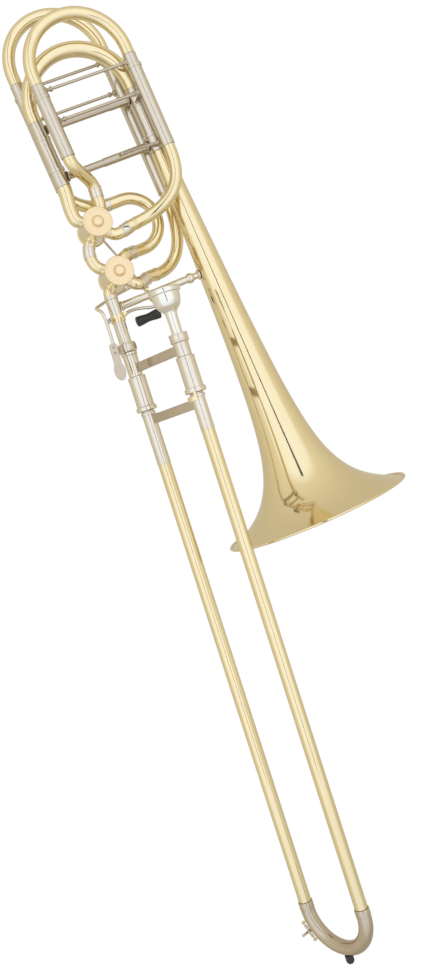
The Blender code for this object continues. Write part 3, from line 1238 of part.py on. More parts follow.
def ball_helper(name, radius, frame):
    work = bmesh.new()
    bmesh.ops.create_uvsphere(work, u_segments=10, v_segments=6, radius=radius)
    mesh = bpy.data.meshes.new(name)
    work.to_mesh(mesh)
    work.free()
    return place(name, mesh, None, frame, CUTTERS)


def make_key_springs(hinge, near, far):
    """A coil on the hinge pin on each side of the lever, its straight ends square to lever and post."""
    wire = SPRING_WIRE
    length = far - near - 2 * wire
    steps = 8 * SPRING_TURNS
    coil = []
    for i in range(steps + 1):
        angle = math.tau * SPRING_TURNS * i / steps
        coil.append(Vector((SPRING_COIL * math.cos(angle), SPRING_COIL * math.sin(angle),
                            near + wire + length * i / steps)))
    path = [coil[0] - Vector((0, 0, wire))] + coil + [coil[-1] + Vector((0, 0, wire))]
    apart = min((a - b).length for i, a in enumerate(coil) for b in coil[i + 5:])
    print(f"water key spring: least gap to itself {(apart - wire) / MM:.2f} mm")
    for side, turn in (("upper", 0.0), ("lower", math.pi)):
        frame = hinge @ Matrix.Rotation(turn, 4, "X")
        rod(f"water_key_{side}_spring", path, wire / 2, "steel", frame, sides=6)


def main():
    make_bell()
    make_main_slide()
    outer = make_loop("first", FIRST_LEFT, FIRST_RIGHT, -LOOP_DEPTH, FIRST_CROOK_HEIGHT, FIRST_JOIN,
                      FIRST_OUTER_TOP, (FIRST_LEFT_BOTTOM, FIRST_RIGHT_BOTTOM),
                      (FIRST_UPPER_ROD, FIRST_LOWER_ROD))
    make_loop("second", SECOND_LEFT, SECOND_RIGHT, LOOP_DEPTH, SECOND_CROOK_HEIGHT, SECOND_JOIN,
              SECOND_OUTER_TOP, (SECOND_LEFT_BOTTOM, SECOND_RIGHT_BOTTOM),
              (SECOND_UPPER_ROD, SECOND_LOWER_ROD))
    make_valve(1, VALVE1_Z, VALVE1_TURN, arm_rest(1))
    make_valve(2, VALVE2_Z, VALVE2_TURN, arm_rest(2))
    make_link(1)
    make_link(2)
    make_thumb_lever()
    make_finger_lever()
    make_saddle()
    make_valve_tubes()
    make_braces(outer)
    make_neck()
    make_inner_slide()
    make_outer_slide()


main()
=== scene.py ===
import math

import bmesh
import bpy
from mathutils import Matrix, Vector


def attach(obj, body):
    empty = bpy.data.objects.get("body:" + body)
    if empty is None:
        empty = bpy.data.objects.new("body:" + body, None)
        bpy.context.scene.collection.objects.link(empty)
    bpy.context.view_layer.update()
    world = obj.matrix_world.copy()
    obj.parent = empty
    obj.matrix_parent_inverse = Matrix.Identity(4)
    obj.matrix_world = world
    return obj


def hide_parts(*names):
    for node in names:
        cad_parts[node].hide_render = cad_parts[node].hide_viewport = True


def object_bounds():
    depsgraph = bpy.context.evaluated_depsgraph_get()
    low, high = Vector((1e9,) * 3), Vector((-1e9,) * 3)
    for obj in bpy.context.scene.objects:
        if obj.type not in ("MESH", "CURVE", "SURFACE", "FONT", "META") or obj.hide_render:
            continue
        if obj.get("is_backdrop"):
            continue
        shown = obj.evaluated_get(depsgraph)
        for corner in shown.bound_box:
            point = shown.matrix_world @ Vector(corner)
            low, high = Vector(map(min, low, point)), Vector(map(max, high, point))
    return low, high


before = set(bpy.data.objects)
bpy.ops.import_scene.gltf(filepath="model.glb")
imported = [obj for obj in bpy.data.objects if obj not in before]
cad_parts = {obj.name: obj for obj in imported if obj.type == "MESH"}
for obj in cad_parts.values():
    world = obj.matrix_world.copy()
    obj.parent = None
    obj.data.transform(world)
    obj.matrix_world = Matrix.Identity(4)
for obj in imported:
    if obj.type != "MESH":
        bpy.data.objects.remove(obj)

bl_info = {
    "name": "Bass trombone",
    "version": (1, 0, 0),
    "blender": (4, 5, 0),
    "location": "View3D > Sidebar > Trombone",
    "description": "Finished surfaces of a bass trombone with two rotary valves, and its stage",
    "category": "Add Mesh",
}

MM = 0.001
STUB = 2.0
FIT = 0.3
ROUND_SIDES = 64
TUBE_SIDES = 40
ROD_SIDES = 24
WALL = 0.6
BELL_X = 131.0
NUT_AT = -69.5
NUT_LENGTH = 11.5
BRACE_HEIGHT = 335.0
DUCT_RADIUS = 6.8
PADDLE_LEAN = math.radians(8.4)
NECK_TOP = -14.0
INNER_TUBE_END = -772.0
OUTER_TUBE_END = -799.0
BRACE_RADIUS = 4.6
GRIP_SPACING = 93.4
SOLDER = 0.42
EYE_RADIUS = 3.4
BODY = "bell_section"

# Tube ends and heights, in millimetres from the bell's rim
MAIN_CROOK = 583.0
MAIN_JOIN = 577.0
MAIN_OUTER_TOP = 557.0
MAIN_OUTER_BOTTOM = 494.6
MAIN_BRACE = 566.0
BODY_BRACE = 505.0
RECEIVER_RISE = 0.911
LOOP_DEPTH = 24.7
LOOPS = {
    "first": {
        "left": 14.7, "right": 136.3, "depth": -LOOP_DEPTH, "crook": 620.0, "join": 610.3,
        "top": 596.5, "bottoms": (519.4, 491.6), "rods": (602.158, 563.501),
    },
    "second": {
        "left": 3.2, "right": 123.3, "depth": LOOP_DEPTH, "crook": 646.5, "join": 636.0,
        "top": 620.5, "bottoms": (497.0, 449.0), "rods": (627.475, 587.525),
    },
}
VALVE_X = 15.4
VALVE_Z = {1: 435.8, 2: 372.0}
VALVE_TURN = {1: math.radians(4.3), 2: 0.0}
CASING_FRONT = -25.6
CASING_BACK = 26.0
PORT_REACH = 20.0
PORT_RADIUS = 7.4
ARM_DEPTH = 33.0
ARM_THICKNESS = 2.4
ARM_RADIUS = 11.0
THUMB_PIVOT = Vector((-17.2, -9.0, 323.0))
THUMB_END = Vector((40.0, 33.0, 357.0))
FINGER_PIVOT = Vector((6.6, 13.0, 325.0))
FINGER_END = Vector((53.0, 33.0, 348.0))
ROLLER_CENTRE = Vector((37.0, 22.0, 312.0))
HINGE_PIN = 1.2
NECK_RADIUS = 7.8
SLIDE_TILT = 0.109
SLIDE_TURN = 1.064
SLIDE_TOP = Vector((-0.5, 0.0, 360.0))
INNER_BRACE_AT = 102.5
OUTER_BRACE_AT = 168.5
BARREL_TOP = 112.0
BARREL_BOTTOM = 156.0
BARREL_RADIUS = 11.2
BOW_AT = 809.0
BOW_RADIUS = 8.9
RIM_AT = 29.5
LOCK_ANGLE = math.radians(-52)
MOUTHPIECE_OUTSIDE = (
    (16.4, 0.0), (18.0, 0.25), (18.9, 1.0), (19.4, 2.2), (19.4, 6.2), (18.9, 6.8), (17.2, 7.1),
    (16.9, 10.0), (16.6, 13.0), (16.1, 16.0), (15.4, 19.0), (14.2, 21.7), (12.4, 24.0),
    (10.3, 26.2), (8.3, 28.0), (7.5, 29.6), (7.1, 31.5), (6.8, 37.0), (6.5, 55.0), (6.0, 76.5),
)
MOUTHPIECE_INSIDE = (
    (4.8, 76.5), (4.4, 55.0), (3.9, 40.0), (3.6, 31.0), (3.9, 27.2), (4.6, 24.5), (7.0, 21.2),
    (10.2, 18.0), (11.7, 14.8), (12.6, 11.0), (13.1, 7.5), (13.4, 4.0), (13.8, 1.6), (14.6, 0.5),
)

# Water key, in millimetres from the bow's centre line
KEY_ANGLE = math.radians(29.5)
KEY_HINGE = 18.8
KEY_POST = 12.0
NIPPLE_SIDE = math.radians(50)

# Camera, in millimetres from the bell's rim
CAMERA_AT = Vector((-300.49928, -1325.46366, 174.35783))
CAMERA_RIGHT = Vector((0.8831814886, -0.2393127774, -0.4033854891))
CAMERA_DOWN = Vector((-0.4064096431, 0.0388717580, -0.9128637294))
CAMERA_LENS = 40.70

# The floor lies below the reach of the extended hand slide, in metres
FLOOR_DROP = 0.66
FLOOR_RADIUS = 1.1
FLOOR_GLOW = 0.45
# Studio light: shares of white, and the dark gap's width, depth and ends as sines of angles
FILL_LEVEL = 0.92
GAP_WIDTH = 0.045
GAP_DEPTH = 0.97
GAP_LIMIT = (-0.36, 0.77)
LOW_SHADE = (-0.85, -0.25, 0.74, 1.0)


def metres(name, description, default, low, high):
    """A length in metres between two limits."""
    return bpy.props.FloatProperty(
        name=name, description=description, default=default, min=low, max=high, unit="LENGTH")


def tint(name, description, default):
    return bpy.props.FloatVectorProperty(
        name=name, description=description, default=default, min=0.0, max=1.0, subtype="COLOR")


class BellSizes(bpy.types.PropertyGroup):
    diameter: metres("Diameter", "Outer diameter of the bell's rim", 0.2413, 0.1, 0.4)
    length: metres("Length", "Height of the bell from its rim to its tail", 0.494, 0.2, 0.8)
    tail: metres("Tail radius", "Outer radius at the bell's narrow end", 0.0115, 0.005, 0.03)
    taper: bpy.props.FloatProperty(
        name="Stem taper", description="Growth of the stem's radius for each length of stem",
        default=0.0292, min=0.0, max=0.1)
    flare_depth: metres("Flare depth", "Length over which the flare opens", 0.0894, 0.02, 0.3)
    flare_power: bpy.props.FloatProperty(
        name="Flare power", description="How sharply the flare opens towards the rim",
        default=2.575, min=1.0, max=6.0)
    wall: metres("Wall", "Thickness of the bell's sheet", 0.0008, 0.0002, 0.003)
    bead: metres("Bead radius", "Radius of the wire rolled into the rim", 0.0016, 0.0005, 0.004)
    rings: bpy.props.IntProperty(
        name="Rings", description="Rings of faces from the tail to the rim", default=72,
        min=12, max=200)
    sides: bpy.props.IntProperty(
        name="Sides", description="Faces round the bell", default=128, min=24, max=256)


class SlideSizes(bpy.types.PropertyGroup):
    main_radius: metres(
        "Main slide radius", "Outer radius of the main slide at its neck side", 0.0085, 0.005, 0.02)
    bell_side_radius: metres(
        "Bell side radius", "Outer radius of the main slide at its bell side", 0.0106, 0.005, 0.02)
    loop_radius: metres("Loop radius", "Outer radius of the valve loops' tube", 0.0078, 0.004, 0.02)
    spacing: metres(
        "Hand slide spacing", "Distance between the hand slide's two legs", 0.0934, 0.05, 0.2)
    bore: metres("Bore", "Inner diameter of the hand slide's inner tubes", 0.01427, 0.01, 0.02)
    nut_ribs: bpy.props.IntProperty(
        name="Nut ribs", description="Knurled ribs round the bell lock nut", default=48,
        min=8, max=120)


class FinishColours(bpy.types.PropertyGroup):
    brass: tint("Lacquered brass", "Colour of the lacquered brass", (0.835, 0.715, 0.455))
    nickel: tint("Nickel silver", "Colour of the nickel silver", (0.76, 0.70, 0.60))
    drawn: tint("Drawn nickel", "Colour of the tuning slides' legs", (0.67, 0.605, 0.505))
    # Dull nickel is a darker copy of the nickel silver. Its darker colour is painted shade on the rods, the
    # bow and the paddle; its higher roughness is a real duller finish.
    dull_shaded_nickel: tint("Dull nickel", "Colour of the rods, the bow and the paddle", (0.56, 0.485, 0.385))
    silver: tint("Silver plate", "Colour of the silver plate", (0.82, 0.80, 0.74))
    satin: tint("Satin brass", "Colour of the valve caps' satin brass", (0.85, 0.68, 0.43))
    rubber: tint("Rubber", "Colour of the roller and the bumper", (0.021, 0.020, 0.018))
    cork: tint("Cork", "Colour of the water key's cork", (0.42, 0.26, 0.13))
    steel: tint("Spring steel", "Colour of the springs and screws", (0.42, 0.42, 0.43))


def slide_frame():
    up = Vector((math.sin(SLIDE_TILT), 0.0, math.cos(SLIDE_TILT)))
    across = Vector((math.cos(SLIDE_TURN), -math.sin(SLIDE_TURN), 0.0))
    across = (across - up * across.dot(up)).normalized()
    turn = Matrix((across, up.cross(across), up)).transposed().to_4x4()
    return Matrix.Translation(SLIDE_TOP) @ turn


def slide_sizes():
    return bpy.context.scene.trombone_slides


def spacing():
    return slide_sizes().spacing / MM


SLIDE_LOCAL = slide_frame()
GRIP = SLIDE_LOCAL @ Vector((GRIP_SPACING / 2, 0.0, -INNER_BRACE_AT))
WORLD = Matrix.Diagonal((MM, MM, MM, 1.0))
BELL_FRAME = WORLD @ Matrix.Translation(-GRIP)
SLIDE_FRAME = BELL_FRAME @ SLIDE_LOCAL
TO_X = Matrix.Rotation(math.radians(90), 4, "Y")
TO_Y = Matrix.Rotation(math.radians(90), 4, "X")


def shifted(where, x=0.0, y=0.0, z=0.0):
    """A frame moved along its own axes."""
    return where @ Matrix.Translation((x, y, z))


def at(x, y, z):
    return shifted(BELL_FRAME, x, y, z)


def along_x(x, y, z):
    return at(x, y, z) @ TO_X


def along_y(x, y, z):
    """A frame whose local Z runs towards the front."""
    return at(x, y, z) @ TO_Y


def between(start, end):
    way = Vector(end) - Vector(start)
    return BELL_FRAME @ Matrix.Translation(start) @ way.to_track_quat("Z", "Y").to_matrix().to_4x4()


def bend(start, leave, end, arrive, pull=1.0, steps=28):
    """A smooth path that leaves start and reaches end along the given directions."""
    leave, arrive = Vector(leave).normalized(), Vector(arrive).normalized()
    first, last = Vector(start), Vector(end)
    start, end = first + leave * STUB, last - arrive * STUB
    reach = (end - start).length * pull
    path = [first]
    for i in range(steps + 1):
        t = i / steps
        path.append(
            start * (2 * t**3 - 3 * t**2 + 1) + leave * ((t**3 - 2 * t**2 + t) * reach)
            + end * (3 * t**2 - 2 * t**3) + arrive * ((t**3 - t**2) * reach)
        )
    return path + [last]


def spliced(first, second):
    """Joins two bends without the short straight ends where they meet."""
    return first[:-2] + first[-1:] + second[2:]


def round_points(centre, radii, start, sweep, steps):
    """Points of an arc of an ellipse, from start over sweep in degrees."""
    turns = [math.radians(start + sweep * i / steps) for i in range(steps + 1)]
    return [(centre[0] + radii[0] * math.cos(a), centre[1] + radii[1] * math.sin(a)) for a in turns]


def arc(centre, radius, start, sweep, depth=0.0):
    """Points of an arc in the X-Z plane, angles in degrees from +X towards +Z."""
    points = round_points(centre, (radius, radius), start, sweep, 48)
    return [Vector((x, depth, z)) for x, z in points]


def u_turn(left, right, depth, join, height, sweep):
    """A half circle between two legs, with straight ends that reach the joins."""
    half = (right - left) / 2
    return [Vector((left, depth, join)), *arc((left + half, height), half, 180, sweep, depth),
            Vector((right, depth, join))]


def corner_points(before, corner, after, size, share, steps):
    """The points of a rounded corner, its ends within a share of the way to the neighbours."""
    back, ahead = (way.normalized() * min(size, way.length * share)
                   for way in (before - corner, after - corner))
    return [corner + back * (1 - k / steps) ** 2 + ahead * (k / steps) ** 2 for k in range(steps + 1)]


def rounded(points, size):
    """A path whose inner corners are rounded."""
    points = [Vector(p) for p in points]
    path = [points[0]]
    for before, corner, after in zip(points, points[1:], points[2:]):
        path += corner_points(before, corner, after, size, 0.45, 8)
    return path + [points[-1]]


def stretch(path, near, far):
    """The part of a path between the points nearest to near and far."""
    fine = []
    for a, b in zip(path, path[1:]):
        count = max(1, int((b - a).length / 0.5))
        fine += [a.lerp(b, i / count) for i in range(count)]
    fine.append(path[-1])
    first = min(range(len(fine)), key=lambda i: (fine[i] - Vector(near)).length)
    last = min(range(len(fine)), key=lambda i: (fine[i] - Vector(far)).length)
    first, last = sorted((first, last))
    return fine[first:last + 1:2] if last - first > 4 else fine[first:last + 1]


def grow(first, last, count):
    """Even steps from the first value to the last."""
    return [first + (last - first) * i / (count - 1) for i in range(count)]


def eased(points, size, closed):
    """The profile with its corners rounded by the given size, but not on the axis."""
    count = len(points)
    made = []
    for i, point in enumerate(points):
        here, before, after = Vector(point), Vector(points[i - 1]), Vector(points[(i + 1) % count])
        back, ahead = before - here, after - here
        end = not closed and i in (0, count - 1)
        if end or min(back.length, ahead.length) < 1e-6 or back.angle(ahead) > math.radians(168):
            made.append(point)
        else:
            made += [tuple(p) for p in corner_points(before, here, after, size, 0.4, 3)]
    return made


def pipe(outer, inner, top, bottom):
    """The profile of a straight tube."""
    return [(outer, top), (outer, bottom), (inner, bottom), (inner, top)]


def meshed(work):
    """Turns a bmesh into a mesh."""
    mesh = bpy.data.meshes.new("made")
    work.to_mesh(mesh)
    work.free()
    return mesh


def placed(name, data):
    """A new object in the scene."""
    obj = bpy.data.objects.new(name, data)
    bpy.context.scene.collection.objects.link(obj)
    return obj


def smooth(mesh, sharp=32.0):
    mesh.shade_smooth()
    mesh.set_sharp_from_angle(angle=math.radians(sharp))
    return mesh


def tidied(mesh, where=None, sharp=32.0):
    """Merges doubles, turns the faces outwards, shades smooth and moves the mesh to its place."""
    work = bmesh.new()
    work.from_mesh(mesh)
    if where is not None:
        work.transform(where)
    bmesh.ops.remove_doubles(work, verts=work.verts, dist=1e-7)
    bmesh.ops.recalc_face_normals(work, faces=work.faces)
    return smooth(meshed(work), sharp)


def lathe(points, where, closed=True, ease=0.3, sides=ROUND_SIDES):
    """Turns a profile of (radius, height) about local Z."""
    points = eased(points, ease, closed) if ease else list(points)
    work = bmesh.new()
    rings = []
    for r, z in points:
        if r < 1e-6:
            rings.append([work.verts.new((0.0, 0.0, z))])
            continue
        turns = [math.tau * i / sides for i in range(sides)]
        rings.append([work.verts.new((r * math.cos(a), r * math.sin(a), z)) for a in turns])
    pairs = list(zip(rings, rings[1:])) + ([(rings[-1], rings[0])] if closed else [])
    for a, b in pairs:
        for i in range(sides):
            corners = [a[i % len(a)], a[(i + 1) % len(a)], b[(i + 1) % len(b)], b[i % len(b)]]
            corners = list(dict.fromkeys(corners))
            if len(corners) > 2:
                work.faces.new(corners)
    return tidied(meshed(work), where)


def evaluated(mesh, *setups):
    """The mesh after a stack of modifiers, each given as a function that adds and sets one."""
    holder = placed("holder", mesh)
    for setup in setups:
        setup(holder)
    graph = bpy.context.evaluated_depsgraph_get()
    made = bpy.data.meshes.new_from_object(holder.evaluated_get(graph), depsgraph=graph)
    bpy.data.objects.remove(holder, do_unlink=True)
    return made


def modifier(name, kind, **values):
    """A function that adds a modifier to an object and sets its properties."""
    def setup(obj):
        made = obj.modifiers.new(name, kind)
        for key, value in values.items():
            setattr(made, key, value)
    return setup


def walls(thickness, offset=-1.0):
    return modifier("Wall", "SOLIDIFY", thickness=thickness, offset=offset)


def soft_edges(width):
    return modifier("Edges", "BEVEL", width=width, segments=3, limit_method="ANGLE",
                    angle_limit=math.radians(40))


def grown(tree, finish, mesh=None, **values):
    """What a Geometry Nodes tree makes, its inputs set by the sockets' identifiers."""
    values["Finish"] = material(finish)

    def setup(obj):
        made = obj.modifiers.new("Grow", "NODES")
        made.node_group = tree
        for item in tree.interface.items_tree:
            key = item.name.replace(" ", "_")
            if item.item_type == "SOCKET" and item.in_out == "INPUT" and key in values:
                made[item.identifier] = values[key]

    return evaluated(mesh or bpy.data.meshes.new("empty"), setup)


def merged(*meshes):
    work = bmesh.new()
    for mesh in meshes:
        work.from_mesh(mesh)
    return smooth(meshed(work))


def piece(name, mesh, finish, body, *nodes):
    """One finished piece at the origin: it rides on a body and stands for the CAD nodes named."""
    obj = placed(name, mesh)
    mesh.name = name
    mesh.materials.clear()
    mesh.materials.append(material(finish))
    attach(obj, body)
    if nodes:
        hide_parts(*nodes)


def new_group(name, kind, inputs, outputs):
    """A node group with named inputs and outputs, and the two rows of sockets inside it."""
    tree = bpy.data.node_groups.new(name, kind + "NodeTree")
    for label, form, value in inputs:
        socket = tree.interface.new_socket(label, in_out="INPUT", socket_type="NodeSocket" + form)
        if value is not None:
            socket.default_value = value
    for label, form in outputs:
        tree.interface.new_socket(label, in_out="OUTPUT", socket_type="NodeSocket" + form)
    return tree, tree.nodes.new("NodeGroupInput").outputs, tree.nodes.new("NodeGroupOutput").inputs


def new_tree(name, *inputs):
    sockets = (("Geometry", "Geometry", None), *inputs, ("Finish", "Material", None))
    return new_group(name, "Geometry", sockets, (("Geometry", "Geometry"),))


def feed(tree, socket, value):
    """Links an input to a node or socket, or sets it."""
    if isinstance(value, bpy.types.Node):
        value = value.outputs[0]
    if isinstance(value, bpy.types.NodeSocket):
        tree.links.new(value, socket)
    else:
        socket.default_value = value


def wired(tree, made, *terms, **inputs):
    """Sets a node's properties, which are in small letters, and its inputs by place or name."""
    for key, value in inputs.items():
        if key[0].islower():
            setattr(made, key, value)
    for i, term in enumerate(terms):
        feed(tree, made.inputs[i], term)
    for key, value in inputs.items():
        if key[0].isupper():
            feed(tree, made.inputs[key.replace("_", " ")], value)
    return made


def node(tree, kind, *terms, **inputs):
    """Adds a node. A kind without a prefix is a Geometry Nodes one."""
    made = tree.nodes.new(kind if "Node" in kind else "GeometryNode" + kind)
    return wired(tree, made, *terms, **inputs)


def calc(tree, operation, *terms):
    """Adds a Math node."""
    return node(tree, "ShaderNodeMath", *terms, operation=operation)


def finish_tree(tree, geometry, finish, end):
    """Ends a tree in smooth shading, Realize Instances and Set Material."""
    even = node(tree, "SetShadeSmooth", Geometry=geometry)
    real = node(tree, "RealizeInstances", Geometry=even)
    feed(tree, end["Geometry"], node(tree, "SetMaterial", Geometry=real, Material=finish))
    return tree


def tube_tree():
    """Sweeps a round tube along a line of points, as wide at each as its girth says."""
    if "Tube along a path" in bpy.data.node_groups:
        return bpy.data.node_groups["Tube along a path"]
    tree, start, end = new_tree(
        "Tube along a path", ("Sides", "Int", TUBE_SIDES), ("Closed ends", "Bool", False))
    girth = node(tree, "InputNamedAttribute", data_type="FLOAT", Name="girth")
    line = node(tree, "MeshToCurve", Mesh=start["Geometry"])
    ring = node(tree, "CurvePrimitiveCircle", Resolution=start["Sides"], Radius=1.0)
    swept = node(tree, "CurveToMesh", Curve=line, Profile_Curve=ring, Scale=girth,
                 Fill_Caps=start["Closed ends"])
    return finish_tree(tree, swept, start["Finish"], end)


def bell_tree():
    """The bell's sheet: a stem that widens evenly and a flare that opens by a power law."""
    tree, start, end = new_tree(
        "Bell flare", ("Diameter", "Float", 0.2413), ("Length", "Float", 0.494),
        ("Tail radius", "Float", 0.0115), ("Stem taper", "Float", 0.0292),
        ("Flare depth", "Float", 0.0894), ("Flare power", "Float", 2.575), ("Lip", "Float", 0.001),
        ("Rings", "Int", 72), ("Sides", "Int", 128))

    def plus(a, b):
        return calc(tree, "ADD", a, b)

    def less(a, b):
        return calc(tree, "SUBTRACT", a, b)

    def times(a, b):
        return calc(tree, "MULTIPLY", a, b)

    def flare(z):
        ratio = calc(tree, "DIVIDE", start["Flare depth"], plus(z, start["Flare depth"]))
        return calc(tree, "POWER", ratio, start["Flare power"])

    grid = node(tree, "MeshGrid", Size_X=1.0, Size_Y=1.0, Vertices_X=plus(start["Sides"], 1.0),
                Vertices_Y=plus(start["Rings"], 1.0))
    split = node(tree, "ShaderNodeSeparateXYZ", node(tree, "InputPosition"))
    turn = times(plus(split.outputs[0], 0.5), math.tau)
    share = calc(tree, "POWER", less(0.5, split.outputs[1]), 1.7)
    height = plus(times(less(start["Length"], start["Lip"]), share), start["Lip"])
    rest = flare(start["Length"])
    open_by = less(times(start["Diameter"], 0.5), start["Tail radius"])
    open_by = less(open_by, times(start["Stem taper"], start["Length"]))
    widen = calc(tree, "DIVIDE", open_by, less(1.0, rest))
    radius = times(start["Stem taper"], less(start["Length"], height))
    radius = plus(radius, start["Tail radius"])
    radius = calc(tree, "MULTIPLY_ADD", widen, less(flare(height), rest), radius)
    place = node(tree, "ShaderNodeCombineXYZ", times(radius, calc(tree, "COSINE", turn)),
                 times(radius, calc(tree, "SINE", turn)), height)
    moved = node(tree, "SetPosition", Geometry=grid, Position=place)
    joined = node(tree, "MergeByDistance", Geometry=moved, Distance=1e-6)
    return finish_tree(tree, joined, start["Finish"], end)


def ribs_tree():
    """Knurled ribs: a slim bar set on each point of a circle, turned to face outwards."""
    tree, start, end = new_tree(
        "Knurled ribs", ("Ribs", "Int", 48), ("Radius", "Float", 0.012), ("Length", "Float", 0.009),
        ("Width", "Float", 0.0006), ("Height", "Float", 0.0004))
    ring = node(tree, "MeshCircle", Vertices=start["Ribs"], Radius=start["Radius"])
    size = node(tree, "ShaderNodeCombineXYZ", start["Height"], start["Width"], start["Length"])
    face = node(tree, "FunctionNodeAlignRotationToVector", axis="X", pivot_axis="Z",
                Vector=node(tree, "InputPosition"))
    set_on = node(tree, "InstanceOnPoints", Points=ring, Instance=node(tree, "MeshCube", Size=size),
                  Rotation=face)
    return finish_tree(tree, set_on, start["Finish"], end)


def coil_tree():
    """A wound spring: a wire swept along a spiral."""
    tree, start, end = new_tree(
        "Wound spring", ("Turns", "Float", 3.0), ("Coil radius", "Float", 0.0019),
        ("Height", "Float", 0.006), ("Wire radius", "Float", 0.0003))
    line = node(tree, "CurveSpiral", Resolution=32, Rotations=start["Turns"],
                Start_Radius=start["Coil radius"], End_Radius=start["Coil radius"],
                Height=start["Height"])
    ring = node(tree, "CurvePrimitiveCircle", Resolution=12, Radius=start["Wire radius"])
    wound = node(tree, "CurveToMesh", Curve=line, Profile_Curve=ring, Fill_Caps=True)
    return finish_tree(tree, wound, start["Finish"], end)


def screws_tree():
    """Sets a copy of one screw on each point, turned to the way that the point holds."""
    if "Screws on points" in bpy.data.node_groups:
        return bpy.data.node_groups["Screws on points"]
    tree, start, end = new_tree("Screws on points", ("Screw", "Object", None))
    screw = node(tree, "ObjectInfo", Object=start["Screw"])
    way = node(tree, "InputNamedAttribute", data_type="FLOAT_VECTOR", Name="way")
    face = node(tree, "FunctionNodeAlignRotationToVector", axis="Z", Vector=way)
    set_on = node(tree, "InstanceOnPoints", Points=start["Geometry"],
                  Instance=screw.outputs["Geometry"], Rotation=face)
    return finish_tree(tree, set_on, start["Finish"], end)


def sweep(path, girth, finish, wall=0.0, where=None, sides=TUBE_SIDES):
    """A tube or, without a wall, a closed rod along a path in millimetres."""
    girths = girth if isinstance(girth, list) else [girth] * len(path)
    mesh = bpy.data.meshes.new("path")
    mesh.from_pydata([tuple(p) for p in path], [(i, i + 1) for i in range(len(path) - 1)], [])
    mesh.attributes.new("girth", "FLOAT", "POINT").data.foreach_set("value", girths)
    swept = tidied(grown(tube_tree(), finish, mesh, Sides=sides, Closed_ends=not wall))
    if wall:
        swept = evaluated(swept, walls(wall))
    return tidied(swept, where or BELL_FRAME)


def wire(path, radius, where=None):
    """A thin rod along a path in millimetres."""
    return sweep(path, radius, "nickel", where=where, sides=ROD_SIDES)


def plate(outline, thickness, where, ease=0.35):
    """A flat plate from its outline in X and Z, its edges eased."""
    work = bmesh.new()
    work.faces.new([work.verts.new((x, 0.0, z)) for x, z in outline])
    return tidied(evaluated(meshed(work), walls(thickness, 0.0), soft_edges(ease)), where, 40.0)


def bar(middle, size, where, ease=0.4):
    """A bar with eased edges."""
    work = bmesh.new()
    bmesh.ops.create_cube(work, size=1.0)
    work.transform(Matrix.Translation(middle) @ Matrix.Diagonal((*size, 1.0)))
    return tidied(evaluated(meshed(work), soft_edges(ease)), where, 40.0)


def box(low, high, where, ease=0.4):
    """A bar with eased edges between two opposite corners."""
    low, high = Vector(low), Vector(high)
    return bar((low + high) / 2, high - low, where, ease)


def brace_bar(x0, x1, height):
    """The flat brace between two legs of the hand slide."""
    half_deep, half_tall = 3.0, 5.65
    return box((x0, -half_deep, height - half_tall), (x1, half_deep, height + half_tall),
               SLIDE_FRAME, 1.0)


def curved_bar(radius, thick, heights, degrees, where):
    """A bar bent round the local Z axis between two heights and two angles."""
    work = bmesh.new()
    reach = (radius + thick / 2,) * 2
    rows = [
        [work.verts.new((x, y, z)) for z in heights]
        for x, y in round_points((0.0, 0.0), reach, degrees[0], degrees[1] - degrees[0], 20)
    ]
    for near, far in zip(rows, rows[1:]):
        work.faces.new((near[0], near[1], far[1], far[0]))
    return tidied(evaluated(meshed(work), walls(thick, 0.0), soft_edges(0.6)), where, 40.0)


def disc(where, radius, length, ease=0.3, sides=ROD_SIDES * 2):
    """A short round rod about the middle of a frame."""
    half = length / 2
    return lathe([(0.0, half), (radius, half), (radius, -half), (0.0, -half)], where, False, ease, sides)


def disc_y(point, radius, length, ease=0.3):
    return disc(along_y(*point), radius, length, ease)


def rod(start, end, radius, ease=0.0, sides=TUBE_SIDES):
    """A plain round rod between two points."""
    length = (end - start).length
    return lathe([(0.0, length), (radius, length), (radius, 0.0), (0.0, 0.0)], between(start, end),
                 False, ease, sides)


def cut(mesh, cutter, operation="DIFFERENCE"):
    """The mesh after a Boolean with another."""
    tool = placed("tool", cutter)
    made = evaluated(mesh, modifier("Cut", "BOOLEAN", operation=operation, solver="EXACT", object=tool))
    bpy.data.objects.remove(tool, do_unlink=True)
    return tidied(made)


def straight_leg(x, y, bottom, top, radius, wall, rings=()):
    """A straight tube with raised rings given as (low, high, rise)."""
    outer = [(radius, top)]
    for low, high, rise in sorted(rings, key=lambda ring: -ring[0]):
        if high >= top:
            outer[-1] = (radius + rise, top)
        else:
            outer += [(radius, high), (radius + rise, high)]
        outer.append((radius + rise, max(low, bottom)))
        if low > bottom:
            outer.append((radius, low))
    if outer[-1][1] > bottom:
        outer.append((radius, bottom))
    points = [(r, z - bottom) for r, z in outer]
    points += [(radius - wall, 0.0), (radius - wall, top - bottom)]
    return lathe(points, at(x, y, bottom), ease=0.25)


def knob(near, way, radius):
    """The outline of a small turned knob on a rod, from its near side on."""
    return [
        (radius, near + way * 0.8), (radius * 1.6, near + way * 1.6), (radius * 1.8, near + way * 2.8),
        (radius * 1.6, near + way * 4.0), (radius, near + way * 4.8),
    ]


def flanged(start, end, radius, foot, cone):
    """A thin rod between two points with a coned foot at each end."""
    length = (Vector(end) - Vector(start)).length
    points = [
        (0.0, length), (foot, length), (foot, length - cone * 0.22), (foot * 0.8, length - cone * 0.45),
        (foot * 0.5, length - cone * 0.7), (radius, length - cone), *knob(length - cone, -1.0, radius),
        *reversed(knob(cone, 1.0, radius)), (radius, cone), (foot * 0.5, cone * 0.7),
        (foot * 0.8, cone * 0.45), (foot, cone * 0.22), (foot, 0.0), (0.0, 0.0),
    ]
    return lathe(points, between(start, end), False, 0.25, 48)


